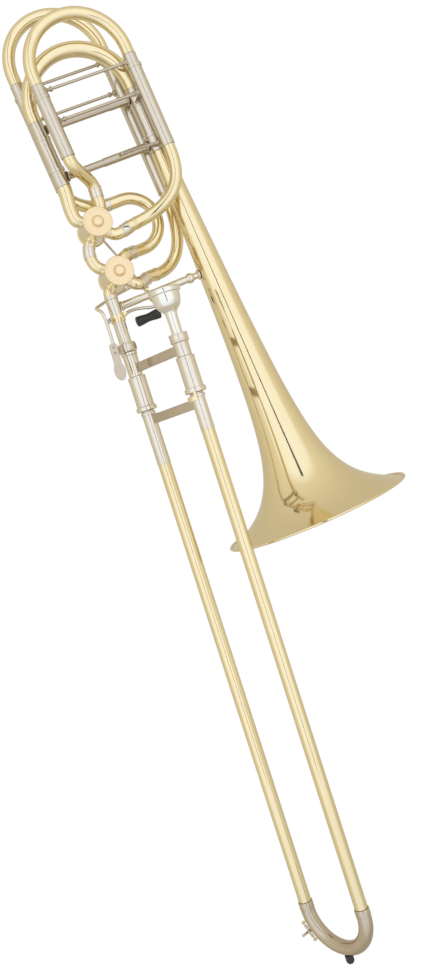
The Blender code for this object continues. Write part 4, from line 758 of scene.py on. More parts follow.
def screws(name, spots, radius, finish, body):
    """Slotted screws at the given points and ways, in the bell's frame."""
    head = [(0.0, radius * 0.75), (radius * 0.55, radius * 0.62), (radius * 0.9, radius * 0.3),
            (radius, 0.0), (radius, -radius * 0.6), (0.0, -radius * 0.6)]
    still = Matrix.Identity(4)
    slot = bar(Vector((0, 0, radius)), Vector((3 * radius, radius * 0.3, radius * 1.1)), still, 0.02)
    screw = placed("screw", cut(lathe(head, still, False, 0.0, 20), slot))
    mesh = bpy.data.meshes.new("spots")
    mesh.from_pydata([tuple(p) for p, way in spots], [], [])
    ways = mesh.attributes.new("way", "FLOAT_VECTOR", "POINT")
    ways.data.foreach_set("vector", [value for p, way in spots for value in way])
    made = grown(screws_tree(), finish, mesh, Screw=screw)
    bpy.data.objects.remove(screw, do_unlink=True)
    piece(name, tidied(made, BELL_FRAME, 40.0), finish, body)


def wear_group():
    """Slow change of tone over a surface: mottled by noise at two scales."""
    if "Surface tone" in bpy.data.node_groups:
        return bpy.data.node_groups["Surface tone"]
    tree, start, end = new_group("Surface tone", "Shader", (
        ("Colour", "Color", (0.8, 0.6, 0.3, 1.0)), ("Worn colour", "Color", (0.6, 0.45, 0.2, 1.0)),
        ("Scale", "Float", 20.0), ("Amount", "Float", 0.3)), (("Colour", "Color"), ("Mask", "Float")))
    place = node(tree, "ShaderNodeTexCoord").outputs["Object"]
    slow = node(tree, "ShaderNodeTexNoise", Vector=place, Scale=start["Scale"], Detail=3.0,
                Roughness=0.55)
    fast = node(tree, "ShaderNodeTexNoise", Vector=place,
                Scale=calc(tree, "MULTIPLY", start["Scale"], 9.0), Detail=2.0, Roughness=0.5)
    both = calc(tree, "ADD", calc(tree, "MULTIPLY", slow, 0.7), calc(tree, "MULTIPLY", fast, 0.3))
    spread = node(tree, "ShaderNodeMapRange", Value=both, From_Min=0.35, From_Max=0.68)
    mask = calc(tree, "MULTIPLY", spread, start["Amount"])
    blend = node(tree, "ShaderNodeMix", data_type="RGBA", Factor=mask)
    feed(tree, blend.inputs[6], start["Colour"])
    feed(tree, blend.inputs[7], start["Worn colour"])
    feed(tree, end["Colour"], blend.outputs[2])
    feed(tree, end["Mask"], mask)
    return tree


def scratch_group():
    """Fine handling scratches and polish: a varying roughness and a height for bump."""
    if "Fine scratches" in bpy.data.node_groups:
        return bpy.data.node_groups["Fine scratches"]
    tree, start, end = new_group("Fine scratches", "Shader", (
        ("Scale", "Float", 900.0), ("Stretch", "Float", 12.0), ("Roughness", "Float", 0.1),
        ("Spread", "Float", 0.05)), (("Roughness", "Float"), ("Height", "Float")))
    place = node(tree, "ShaderNodeTexCoord").outputs["Object"]
    factors = node(tree, "ShaderNodeCombineXYZ", 1.0, 1.0, calc(tree, "DIVIDE", 1.0, start["Stretch"]))
    drawn = node(tree, "ShaderNodeVectorMath", place, factors, operation="MULTIPLY")
    lines = node(tree, "ShaderNodeTexNoise", Vector=drawn, Scale=start["Scale"], Detail=4.0,
                 Roughness=0.6)
    smudge = node(tree, "ShaderNodeTexNoise", Vector=place, Scale=38.0, Detail=3.0)
    both = calc(tree, "ADD", calc(tree, "MULTIPLY", lines, 0.4), calc(tree, "MULTIPLY", smudge, 0.6))
    both = calc(tree, "SUBTRACT", both, 0.5)
    rough = calc(tree, "MULTIPLY_ADD", both, start["Spread"], start["Roughness"])
    feed(tree, end["Roughness"], calc(tree, "MAXIMUM", rough, 0.02))
    feed(tree, end["Height"], lines)
    return tree


FINISHES = {
    # colour of the worn patches, metallic, roughness, its spread, scratch scale, bump, coat, tone
    "brass": ((0.77, 0.63, 0.35), 1.0, 0.09, 0.10, 900.0, 0.010, 0.30, 0.35),
    "nickel": ((0.66, 0.60, 0.51), 1.0, 0.11, 0.12, 1100.0, 0.012, 0.0, 0.40),
    "drawn": ((0.58, 0.52, 0.43), 1.0, 0.12, 0.12, 1100.0, 0.012, 0.0, 0.40),
    # The dull nickel row repeats the nickel silver darker, as painted shade; only its higher roughness is a
    # real duller finish.
    "dull_shaded_nickel": ((0.46, 0.39, 0.30), 1.0, 0.14, 0.14, 1100.0, 0.014, 0.0, 0.45),
    "silver": ((0.76, 0.74, 0.68), 1.0, 0.06, 0.06, 1000.0, 0.006, 0.0, 0.25),
    "satin": ((0.79, 0.62, 0.37), 1.0, 0.36, 0.10, 1600.0, 0.030, 0.10, 0.35),
    "rubber": ((0.045, 0.043, 0.040), 0.0, 0.55, 0.25, 1400.0, 0.080, 0.0, 0.50),
    "cork": ((0.22, 0.12, 0.06), 0.0, 0.85, 0.20, 700.0, 0.30, 0.0, 0.90),
    "steel": ((0.30, 0.29, 0.28), 1.0, 0.25, 0.15, 1500.0, 0.020, 0.0, 0.40),
}


def material(finish):
    """The procedural material of a finish, built once from its colour in the panel."""
    if finish in bpy.data.materials:
        return bpy.data.materials[finish]
    worn, metallic, rough, spread, scale, bump, coat, tone = FINISHES[finish]
    made = bpy.data.materials.new(finish)
    made.use_nodes = True
    tree = made.node_tree
    tones = node(tree, "ShaderNodeGroup", node_tree=wear_group(), Worn_colour=(*worn, 1.0),
                 Colour=(*getattr(bpy.context.scene.trombone_colours, finish), 1.0),
                 Scale=14.0 if metallic else 160.0, Amount=tone)
    lines = node(tree, "ShaderNodeGroup", node_tree=scratch_group(), Scale=scale,
                 Stretch=12.0 if metallic else 1.0, Roughness=rough, Spread=spread)
    relief = node(tree, "ShaderNodeBump", Strength=bump, Distance=0.0005,
                  Height=lines.outputs["Height"])
    wired(tree, tree.nodes["Principled BSDF"], Base_Color=tones, Metallic=metallic, Roughness=lines,
          Normal=relief, Coat_Weight=coat, Coat_Roughness=0.04)
    return made


class BellOperator(bpy.types.Operator):
    """Makes the bell's sheet and the bead in its rim"""

    bl_idname = "trombone.bell"
    bl_label = "Bell"

    def execute(self, context):
        sizes = context.scene.trombone_bell
        sheet = grown(
            bell_tree(), "brass", Diameter=sizes.diameter, Length=sizes.length,
            Tail_radius=sizes.tail, Stem_taper=sizes.taper, Flare_depth=sizes.flare_depth,
            Flare_power=sizes.flare_power, Lip=sizes.bead * 0.7, Rings=sizes.rings, Sides=sizes.sides)
        sheet = evaluated(tidied(sheet), walls(sizes.wall))
        place = Matrix.Translation(BELL_FRAME @ Vector((BELL_X, 0.0, 0.0)))
        piece("bell_flare", tidied(sheet, place), "brass", BODY, "bell")
        bead = sizes.bead / MM
        middle = sizes.diameter / 2 / MM - bead
        ring = round_points((middle, 1.2 * bead), (bead, bead), 0, 360, 16)[:-1]
        ring = lathe(ring, at(BELL_X, 0, 0), True, 0.0, sizes.sides)
        piece("bell_rim_bead", ring, "brass", BODY)
        return {"FINISHED"}


class MainSlideOperator(bpy.types.Operator):
    """Makes the main tuning slide, its receivers and the two braces across them"""

    bl_idname = "trombone.main_slide"
    bl_label = "Main tuning slide"

    def execute(self, context):
        sizes = slide_sizes()
        left, right = sizes.main_radius / MM, sizes.bell_side_radius / MM
        path = u_turn(0, BELL_X, 0, MAIN_JOIN + FIT, MAIN_CROOK, -180)
        crook = sweep(path, grow(left, right, len(path)), "brass", WALL, sides=48)
        piece("main_crook", crook, "brass", "main_slide", "main_slide_crook")
        for side, x, radius in (("neck", 0.0, left), ("bell", BELL_X, right)):
            rings = ((MAIN_OUTER_TOP + FIT, MAIN_JOIN, 0.25),)
            leg = straight_leg(x, 0, MAIN_OUTER_BOTTOM + 4.0, MAIN_JOIN, radius, WALL, rings)
            piece(f"main_{side}_inner_leg", leg, "drawn", "main_slide", f"main_slide_{side}_leg")
            rings = ((513.0, 517.0, 1.3), (553.0, 557.0, 0.65))
            leg = straight_leg(x, 0, MAIN_OUTER_BOTTOM, MAIN_OUTER_TOP, radius + RECEIVER_RISE, WALL,
                               rings)
            piece(f"main_{side}_outer_leg", leg, "drawn", BODY, f"main_receiver_{side}_leg")
        for name, body, node_name, rise, height, radius, step in (
            ("main_slide_cross_brace", "main_slide", "main_slide_brace", 0.25, MAIN_BRACE, 4.2, 0.76),
            ("body_cross_brace", BODY, "body_brace", RECEIVER_RISE, BODY_BRACE, BRACE_RADIUS, 0.45),
        ):
            gap = rise + FIT
            brace = self.brace(left + gap, BELL_X - right - gap, height, radius, step)
            piece(name, brace, "dull_shaded_nickel", body, node_name)
        return {"FINISHED"}

    def brace(self, x0, x1, z, radius, step):
        """A round brace with a foot at each end and a thicker sleeve past its step."""
        length = x1 - x0
        foot, thick, last = radius * 1.45, radius * 0.5, radius + 0.6
        points = [
            (0.0, length), (foot, length), (foot, length - thick * 0.7), (foot * 0.86, length - thick),
            (last, length - thick), (last, length * step), (radius, length * step - 0.6),
            (radius, thick), (foot * 0.86, thick), (foot, thick * 0.7), (foot, 0.0), (0.0, 0.0),
        ]
        return lathe(points, along_x(x0, 0, z), False, 0.4)


class LoopsOperator(bpy.types.Operator):
    """Makes both valve loops: the tuning slides that pull out and their fixed outer legs"""

    bl_idname = "trombone.loops"
    bl_label = "Valve loops"

    def execute(self, context):
        radius = slide_sizes().loop_radius / MM
        for name, loop in LOOPS.items():
            left, right, depth = loop["left"], loop["right"], loop["depth"]
            top, join, slide = loop["top"], loop["join"], f"{name}_slide"
            path = u_turn(left, right, depth, join + FIT, loop["crook"], -180)
            crook = sweep(path, radius, "brass", WALL)
            piece(f"{name}_loop_crook", crook, "brass", slide, f"{name}_slide_crook")
            rings = ((top - 4.0, top, 0.91),)
            for part, body, node_name, wide, high, lift, bands, height in (
                ("inner", slide, "slide", radius, join, 4.0, (), loop["rods"][0]),
                ("outer", BODY, "receiver", radius + RECEIVER_RISE, top, 0.0, rings,
                 loop["rods"][1]),
            ):
                legs = [
                    straight_leg(x, depth, bottom + lift, high, wide, WALL, bands)
                    for x, bottom in zip((left, right), loop["bottoms"])
                ]
                reach = wide - SOLDER
                cross = flanged((left + reach, depth, height), (right - reach, depth, height),
                                1.9, 4.4, 4.0)
                piece(f"{name}_loop_{part}_legs", merged(*legs), "drawn", body,
                      f"{name}_{node_name}_legs")
                piece(f"{name}_loop_{part}_rod", cross, "dull_shaded_nickel", body)
            low, high = top + FIT, join - 0.2
            rings = ((high - 1.4, high, 0.3), (low, low + 1.4, 0.3))
            bands = [straight_leg(x, depth, low, high, radius + 0.4, 0.38, rings) for x in (left, right)]
            piece(f"{name}_loop_ferrules", merged(*bands), "drawn", slide)
        return {"FINISHED"}


def port_way(number, quarter):
    """The outward direction of a casing's port. Quarter 0 is upper right, 1 upper left."""
    angle = math.radians(45 + 90 * quarter) + VALVE_TURN[number]
    return Vector((math.cos(angle), 0.0, math.sin(angle)))


def valve_port(number, quarter):
    """Where a casing's port ends, and its outward direction."""
    out = port_way(number, quarter)
    return Vector((VALVE_X, 0.0, VALVE_Z[number])) + out * (PORT_REACH + FIT), out


def arm_rest(number):
    """The stop arm's angle at rest, half its quarter turn away from square to the link."""
    pivot, end, side = ((FINGER_PIVOT, FINGER_END, 1.0), (THUMB_PIVOT, THUMB_END, -1.0))[number - 1]
    arm = Vector((end.x - pivot.x, end.z - pivot.z))
    swing = 2 * math.asin(ARM_RADIUS * math.sqrt(2) / (2 * arm.length))
    return math.atan2(arm.y, arm.x) - side * swing / 2 + side * math.radians(45)


class ValvesOperator(bpy.types.Operator):
    """Makes both rotary valves: casing, caps, rotor, stop arm and link"""

    bl_idname = "trombone.valves"
    bl_label = "Rotary valves"

    def execute(self, context):
        for number in (1, 2):
            name, height = f"valve{number}", VALVE_Z[number]
            piece(f"{name}_body", self.casing(number), "brass", BODY, f"{name}_casing")
            cap = [
                (0.0, 4.8), (4.6, 4.8), (5.2, 4.6), (5.8, 3.9), (5.8, 1.9), (6.2, 1.6), (6.9, 1.7),
                (7.3, 2.4), (14.6, 2.4), (15.2, 2.25), (15.6, 2.4), (17.4, 2.4), (18.1, 1.7), (18.1, 0.0),
                (0.0, 0.0),
            ]
            cap = lathe(cap, along_y(VALVE_X, CASING_FRONT - FIT, height), False, 0.35, 96)
            piece(f"{name}_cap", cap, "satin", BODY, f"{name}_front_cap")
            back = [(17.3, 2.5), (18.1, 1.7), (18.1, 0.0), (9.5, 0.0), (9.0, 0.6), (3.35, 0.6), (3.35, 2.5)]
            back = lathe(back, along_y(VALVE_X, CASING_BACK + FIT + 2.5, height), True, 0.3, 96)
            piece(f"{name}_back", back, "brass", BODY, f"{name}_back_plate")
            self.moving(number, height)
        return {"FINISHED"}

    def casing(self, number):
        length = CASING_BACK - CASING_FRONT
        middle = Vector((VALVE_X, 0.0, VALVE_Z[number]))
        where = along_y(VALVE_X, CASING_BACK, VALVE_Z[number])
        wide = 17.4
        body = lathe([(0.0, length), (wide, length), (wide, length - 3.0), (wide - 0.35, length - 3.6),
                      (wide - 0.35, 3.6), (wide, 3.0), (wide, 0.0), (0.0, 0.0)], where, False, 0.2, 96)
        ways = port_way(number, 0), port_way(number, 1)
        for way in ways:
            port = rod(middle - way * PORT_REACH, middle + way * PORT_REACH, PORT_RADIUS)
            body = cut(body, port, "UNION")
        bore = [(0.0, length + 2.6), (16.1, length + 2.6), (16.1, -2.6), (0.0, -2.6)]
        body = cut(body, lathe(bore, where, False, 0.0, 96))
        for way in ways:
            body = cut(body, rod(middle - way * 23, middle + way * 23, DUCT_RADIUS))
        return body

    def moving(self, number, height):
        """The rotor with its two passages, the stop arm on its spindle, and the link."""
        tip = ARM_DEPTH + ARM_THICKNESS / 2
        spin = [(0.0, 22.0), (15.75, 22.0), (15.75, -22.0), (3.0, -22.0), (3.0, -tip), (0.0, -tip)]
        rotor = lathe(spin, along_y(VALVE_X, 0, height), False, 0.25)
        for side in (0, 1):
            angle = VALVE_TURN[number] + side * math.pi
            across, way = (Vector((math.cos(a), 0.0, math.sin(a))) for a in (angle, angle + math.pi / 2))
            middle = Vector((VALVE_X, 0.0, height)) + across * 11.2
            rotor = cut(rotor, rod(middle - way * 26.1, middle + way * 26.1, DUCT_RADIUS))
        body = f"valve{number}"
        piece(f"{body}_turning_rotor", rotor, "brass", body, f"{body}_rotor")
        rest = arm_rest(number)
        piece(f"{body}_arm", self.arm(height, rest), "nickel", body, f"{body}_stop_arm")
        pin = Vector((VALVE_X + math.cos(rest) * ARM_RADIUS, ARM_DEPTH,
                      height + math.sin(rest) * ARM_RADIUS))
        eye = (FINGER_END, THUMB_END)[number - 1] + Vector((0.0, 4.0, 0.0))
        path = rounded([pin - Vector((0.0, 2.4, 0.0)), pin + Vector((0.0, 4.0, 0.0)), eye], 2.6)
        link = merged(wire(path, 1.5), disc_y(eye, EYE_RADIUS, 3.4))
        piece(f"{body}_link_rod", link, "dull_shaded_nickel", f"link{number}", f"{body}_link")
        screw_at = Vector((VALVE_X, tip + 0.35, height))
        screws(f"{body}_spindle_screw", [(screw_at, (0.0, 1.0, 0.0))], 2.2, "steel", body)

    def arm(self, height, rest):
        hub, eye = 5.2, 2.72
        outline = round_points((0.0, 0.0), (hub, hub), 100, 160, 24)
        outline += round_points((ARM_RADIUS, 0.0), (eye, eye), -80, 160, 24)
        where = at(VALVE_X, ARM_DEPTH, height) @ Matrix.Rotation(-rest, 4, "Y")
        arm = plate(outline, ARM_THICKNESS, where)
        for x, radius in ((0.0, 3.3), (ARM_RADIUS, 1.8)):
            arm = cut(arm, disc(shifted(where, x) @ TO_Y, radius, 10.0, 0.0, ROD_SIDES))
        return arm


def valve_routes():
    """The centre line and end radii of each tube between valves, loops, slide and neckpipe."""
    down = Vector((0.0, 0.0, -1.0))
    port, loop = PORT_RADIUS, slide_sizes().loop_radius / MM
    tops = {
        (name, side): Vector((sizes[side], sizes["depth"], bottom - FIT))
        for name, sizes in LOOPS.items() for side, bottom in zip(("left", "right"), sizes["bottoms"])
    }
    routes = {}
    end, out = valve_port(1, 1)
    routes["main_to_valve1_tube"] = (
        bend((0, 0, MAIN_OUTER_BOTTOM - FIT), down, end, -out, 0.55), slide_sizes().main_radius / MM, port)
    start, out = valve_port(1, 2)
    end, into = valve_port(2, 1)
    routes["valve1_to_valve2_tube"] = (bend(start, out, end, -into), port, port)
    start, out = valve_port(2, 2)
    neck = SLIDE_LOCAL.to_3x3() @ down
    end = SLIDE_LOCAL @ Vector((0, 0, NECK_TOP + FIT))
    routes["valve2_to_neck_tube"] = (bend(start, out, end, neck, 1.15), port, NECK_RADIUS)

    def lower(name, number, ring, way, pull):
        """From the loop's right leg through a ring to the valve's port at the lower right."""
        end, out = valve_port(number, 3)
        path = spliced(bend(tops[name, "right"], down, ring, way, 1.45, 40),
                       bend(ring, way, end, -out, pull))
        routes[f"{name}_loop_lower_tube"] = (path, loop, port)

    ferrule, fall = Vector((34.6, 0.0, 475.5)), (-0.14, 0.0, -0.99)
    end, out = valve_port(1, 0)
    path = spliced(bend(tops["first", "left"], down, ferrule, fall), bend(ferrule, fall, end, -out))
    routes["first_loop_upper_tube"] = (path, loop, port)
    lower("first", 1, (62.0, -5.5, 421.4), (-1.0, 0.4, -0.02), 1.0)

    turn = arc((66.5, 427.0), 33.7, 90, -180, LOOP_DEPTH)
    # The bend comes closer to the bell's plane on its lower half
    closer = 6.0
    for i, point in enumerate(turn):
        point.y -= closer * max(0.0, 2.0 * i / (len(turn) - 1) - 1.0) ** 2
    start = turn[0] - Vector((15.0, 0.0, 0.0))
    end, out = valve_port(2, 0)
    path = bend(tops["second", "left"], down, start, (1, 0, 0))[:-1] + turn
    path = spliced(path, bend(turn[-1], (-1.0, -0.4, -0.12), end, -out, 0.55))
    routes["second_loop_upper_tube"] = (path, loop, port)
    lower("second", 2, (62.0, 14.0, 357.4), (-1.0, -0.5, 0.02), 1.15)
    return routes


FERRULES = (
    ("valve1_to_valve2_tube", (1.3, 0.0, 414.0), (0.4, 0.0, 401.8)),
    ("valve2_to_neck_tube", (-1.0, 0.0, 352.0), (-2.0, 0.0, 345.8)),
    ("first_loop_upper_tube", (35.5, 0.0, 481.0), (33.1, 0.0, 467.0)),
    ("first_loop_lower_tube", (57.1, 0.0, 421.9), (44.5, 0.0, 422.7)),
    ("second_loop_upper_tube", (40.0, 24.7, 460.8), (51.0, 24.7, 460.8)),
    ("second_loop_upper_tube", (50.0, 11.0, 392.5), (39.0, 3.0, 390.0)),
    ("second_loop_lower_tube", (51.1, 8.0, 358.1), (39.7, 0.0, 359.3)),
)
RINGS = (
    ("first_loop_lower_tube", (62.0, -5.5, 421.4)), ("second_loop_lower_tube", (64.0, 15.0, 357.4)),
)


class ValveTubesOperator(bpy.types.Operator):
    """Makes the curved tubes between the valves, the loops, the main slide and the neckpipe"""

    bl_idname = "trombone.valve_tubes"
    bl_label = "Valve tubes"

    def execute(self, context):
        routes = valve_routes()
        for name, (path, first, last) in routes.items():
            tube = sweep(path, grow(first, last, len(path)), "brass", WALL)
            piece(name.replace("_tube", "_pipe"), tube, "brass", BODY, name)
        bands = []
        for name, near, far in FERRULES:
            path, first, last = routes[name]
            part = stretch(path, near, far)
            radius = max(first, last) + 0.35
            bands.append(sweep(part, radius, "nickel"))
            for tip, inner in (part[:2], part[:-3:-1]):
                bands.append(self.ring(tip, inner - tip, radius + 0.35, 1.4))
        piece("valve_tube_ferrules", merged(*bands), "nickel", BODY)
        bands = []
        for name, near in RINGS:
            path, first, last = routes[name]
            for shift in (0.0, 3.0):
                middle, half = Vector(near) + Vector((shift, 0, 0)), Vector((2, 0, 0))
                part = stretch(path, middle - half, middle + half)
                bands.append(self.ring(part[0], part[-1] - part[0], max(first, last) + 0.4, 1.2))
        piece("valve_tube_rings", merged(*bands), "brass", BODY)
        return {"FINISHED"}

    def ring(self, start, way, radius, length):
        return rod(start, start + way.normalized() * length, radius, 0.5, ROUND_SIDES)


class BracesOperator(bpy.types.Operator):
    """Makes the rod to the first loop and the bell brace with its ball"""

    bl_idname = "trombone.braces"
    bl_label = "Braces"

    def execute(self, context):
        outer = slide_sizes().loop_radius / MM + RECEIVER_RISE
        start = Vector((80.6, -(BRACE_RADIUS + 0.6 + FIT), BODY_BRACE))
        knee = start - Vector((0.0, 5.7, 0.0))
        end = Vector((136.3, -LOOP_DEPTH, 498.8))
        end -= (end - knee).normalized() * (outer + 2 * FIT)
        stay = wire(rounded([start, knee, end], 3.8), 1.9)
        piece("first_loop_stay", stay, "dull_shaded_nickel", BODY, "first_loop_rod")
        neck = SLIDE_LOCAL @ Vector((0, 0, BRACE_HEIGHT - SLIDE_TOP.z))
        foot = BRACE_RADIUS * 1.35
        x0 = neck.x + NECK_RADIUS / math.cos(SLIDE_TILT) + foot * math.tan(SLIDE_TILT) + FIT
        x1 = BELL_X - bell_radius(BRACE_HEIGHT) - FIT
        thick, thin, ball = BRACE_RADIUS, BRACE_RADIUS * 0.86, BRACE_RADIUS * 1.4
        length = x1 - x0
        centre = length - 13.0
        points = [
            (0.0, length), (foot, length), (foot, length - 1.6), (foot * 0.88, length - 2.2),
            (thin, length - 3.2), *round_points((0.0, centre), (ball, ball), 50, -100, 12),
            (thick, centre - ball * 0.85), (thick, 26.0), (thick * 1.06, 25.6), (thick * 1.06, 3.2),
            (foot * 0.88, 2.2), (foot, 1.6), (foot, 0.0), (0.0, 0.0),
        ]
        brace = lathe(points, along_x(x0, 0, BRACE_HEIGHT), False, 0.3)
        piece("bell_stay", brace, "nickel", BODY, "bell_brace")
        return {"FINISHED"}


def bell_radius(height):
    """Outer radius of the bell at a height over its rim, in millimetres."""
    sizes = bpy.context.scene.trombone_bell
    depth, length = sizes.flare_depth / MM, sizes.length / MM

    def flare(z):
        return (depth / (z + depth)) ** sizes.flare_power

    span = sizes.diameter / 2 / MM - sizes.tail / MM - sizes.taper * length
    widen = span / (1 - flare(length))
    return sizes.tail / MM + sizes.taper * (length - height) + widen * (flare(height) - flare(length))


class LeversOperator(bpy.types.Operator):
    """Makes the thumb lever with its paddle, the finger lever with its roller, and their saddle"""

    bl_idname = "trombone.levers"
    bl_label = "Levers"

    def execute(self, context):
        self.thumb()
        self.finger()
        self.saddle()
        return {"FINISHED"}

    def thumb(self):
        pivot, end = THUMB_PIVOT, THUMB_END
        beside = pivot - Vector((4.2, 0.0, 0.0))
        below = Vector((beside.x - 4.0, -14.2, beside.z - 27.0))
        tail = below + Vector((-2.6, 0.0, -16.0))
        path = rounded([
            end - Vector((2.38, 0.0, 0.0)), (9.0, ARM_DEPTH, 354.0), (-25.3, 0.0, 344.0),
            beside + Vector((0.6, 0.0, 13.0)), beside + Vector((0.0, -1.0, 0.0)), below, tail,
        ], 5.0)
        lever = merged(wire(path, 2.0), self.barrel(pivot), disc_y(end, EYE_RADIUS, 2.4))
        piece("thumb_lever_rod", lever, "nickel", "thumb_key", "thumb_lever")
        neck, top = 5.04, 34.0
        outline = round_points((0.0, 0.0), (7.0, 11.5), 48, -276, 36)
        edge = [(neck, top - 2.6), (neck * 0.86, top - 1.0), (neck * 0.6, top)]
        outline += [(-x, z) for x, z in edge] + edge[::-1]
        middle = tail + Vector((-4.0, -3.2, -18.5))
        where = at(*middle) @ Matrix.Rotation(PADDLE_LEAN, 4, "Y")
        piece("thumb_touch", plate(outline, 1.8, where, 0.5), "dull_shaded_nickel", "thumb_key", "thumb_paddle")
        lean = Matrix.Rotation(PADDLE_LEAN, 4, "Y")
        spots = [(middle + lean @ Vector((0.0, -0.7, z)), (0.0, -1.0, 0.0)) for z in (29.5, 22.5)]
        screws("thumb_touch_screws", spots, 1.5, "steel", "thumb_key")

    def barrel(self, pivot):
        return lathe(pipe(2.9, 1.5, 3.5, -3.5), along_y(*pivot), True, 0.25, ROD_SIDES * 2)

    def finger(self):
        pivot, end, centre = FINGER_PIVOT, FINGER_END, ROLLER_CENTRE
        corner = centre + Vector((19.4, 0.0, 0.0))
        fall = Vector((-2.6, 0.0, 9.5))
        path = rounded([
            end - Vector((0.0, 0.0, 2.38)), end + Vector((-3.0, -1.0, -11.0)), corner + fall, corner,
            centre - Vector((15.0, 0.0, 0.0)),
        ], 4.0)
        offsets = ((1.7, 0, 0.3), (9, 2.5, 2.4), (18, 5.5, 2.6), (28, 8, 0.8), (38, 9, -2.4))
        side_path = rounded([pivot + Vector(offset) for offset in offsets] + [corner + fall], 6.0)
        lever = merged(wire(path, 1.8), wire(side_path, 2.0), self.barrel(pivot))
        piece("finger_lever_rod", lever, "nickel", "finger_key", "finger_lever")
        collar = [(0.0, 6.4), (2.1, 6.4), (3.0, 5.0), (3.0, 1.4), (2.1, 0.0), (0.0, 0.0)]
        collar = lathe(collar, between(corner + fall * 0.4, corner + fall), False, 0.3, ROD_SIDES * 2)
        fittings = merged(disc_y(end, EYE_RADIUS, 2.4), collar)
        piece("finger_lever_fittings", fittings, "brass", "finger_key", "finger_lever")
        big, thin, bulge = 6.4, 5.2, 13.0
        points = [(5.4, 16.0), (big, 15.0)]
        for z in grow(bulge, -bulge, 25):
            points.append((thin + (big - thin) * (z / bulge) ** 2 * (3 - 2 * abs(z) / bulge), z))
        points += [(big, -15.0), (5.4, -16.0), (2.1, -16.0), (2.1, 16.0)]
        roller = lathe(points, along_x(*centre), True, 0.3)
        piece("finger_touch_roller", roller, "rubber", "roller", "finger_roller")

    def saddle(self):
        inner = NECK_RADIUS + FIT
        parts = [lathe(pipe(inner + 1.0, inner, -33.5, -42.5), SLIDE_FRAME, True, 0.3)]
        slant = 1 / math.cos(SLIDE_TILT)
        spots = []
        for pivot, sign in ((THUMB_PIVOT, 1.0), (FINGER_PIVOT, -1.0)):
            back = -sign * 0.2
            axis = SLIDE_LOCAL @ Vector((0.0, 0.0, pivot.z - sign * 2.5 - SLIDE_TOP.z))
            x0, x1 = sorted((axis.x - sign * inner * slant, pivot.x - sign * 2 * HINGE_PIN))
            y0, y1 = sorted((pivot.y + sign * (3.5 + FIT), back))
            parts.append(box((x0, y0, pivot.z - 2.5), (x1, y1, pivot.z + 2.5), BELL_FRAME))
            tip = pivot.y - sign * (3.5 + HINGE_PIN)
            length = abs(back - tip) - 1.0
            middle = (tip + back) / 2
            parts.append(disc_y((pivot.x, middle, pivot.z), HINGE_PIN, length, 0.2))
            spots.append((Vector((pivot.x, middle - sign * length / 2, pivot.z)), (0.0, -sign, 0.0)))
        piece("lever_saddle_band", merged(*parts), "brass", BODY, "lever_saddle")
        screws("hinge_screws", spots, 2.3, "steel", BODY)


class NeckOperator(bpy.types.Operator):
    """Makes the neckpipe and the knurled nut that locks the bell to the hand slide"""

    bl_idname = "trombone.neck"
    bl_label = "Neckpipe and nut"

    def execute(self, context):
        neck = pipe(NECK_RADIUS, NECK_RADIUS - 1.2, NECK_TOP, NUT_AT - NUT_LENGTH + FIT)
        piece("neckpipe_tube", lathe(neck, SLIDE_FRAME), "nickel", BODY, "neckpipe")
        inner, wide, half = NECK_RADIUS + 0.35, 11.6, NUT_LENGTH / 2
        edge = [(wide - 1.2, half), (wide, half - 0.9), (wide, half - 1.9), (wide - 0.5, half - 2.3)]
        nut = [*edge, *((r, -z) for r, z in reversed(edge)), (inner, -half), (inner, half)]
        where = shifted(SLIDE_FRAME, z=NUT_AT - half)
        piece("lock_nut_ring", lathe(nut, where, True, 0.2, 96), "nickel", "lock_nut", "bell_lock_nut")
        ribs = grown(ribs_tree(), "nickel", Ribs=slide_sizes().nut_ribs, Radius=11.35, Length=6.6,
                     Width=0.75, Height=1.1)
        piece("lock_nut_ribs", tidied(ribs, where, 20.0), "nickel", "lock_nut")
        return {"FINISHED"}


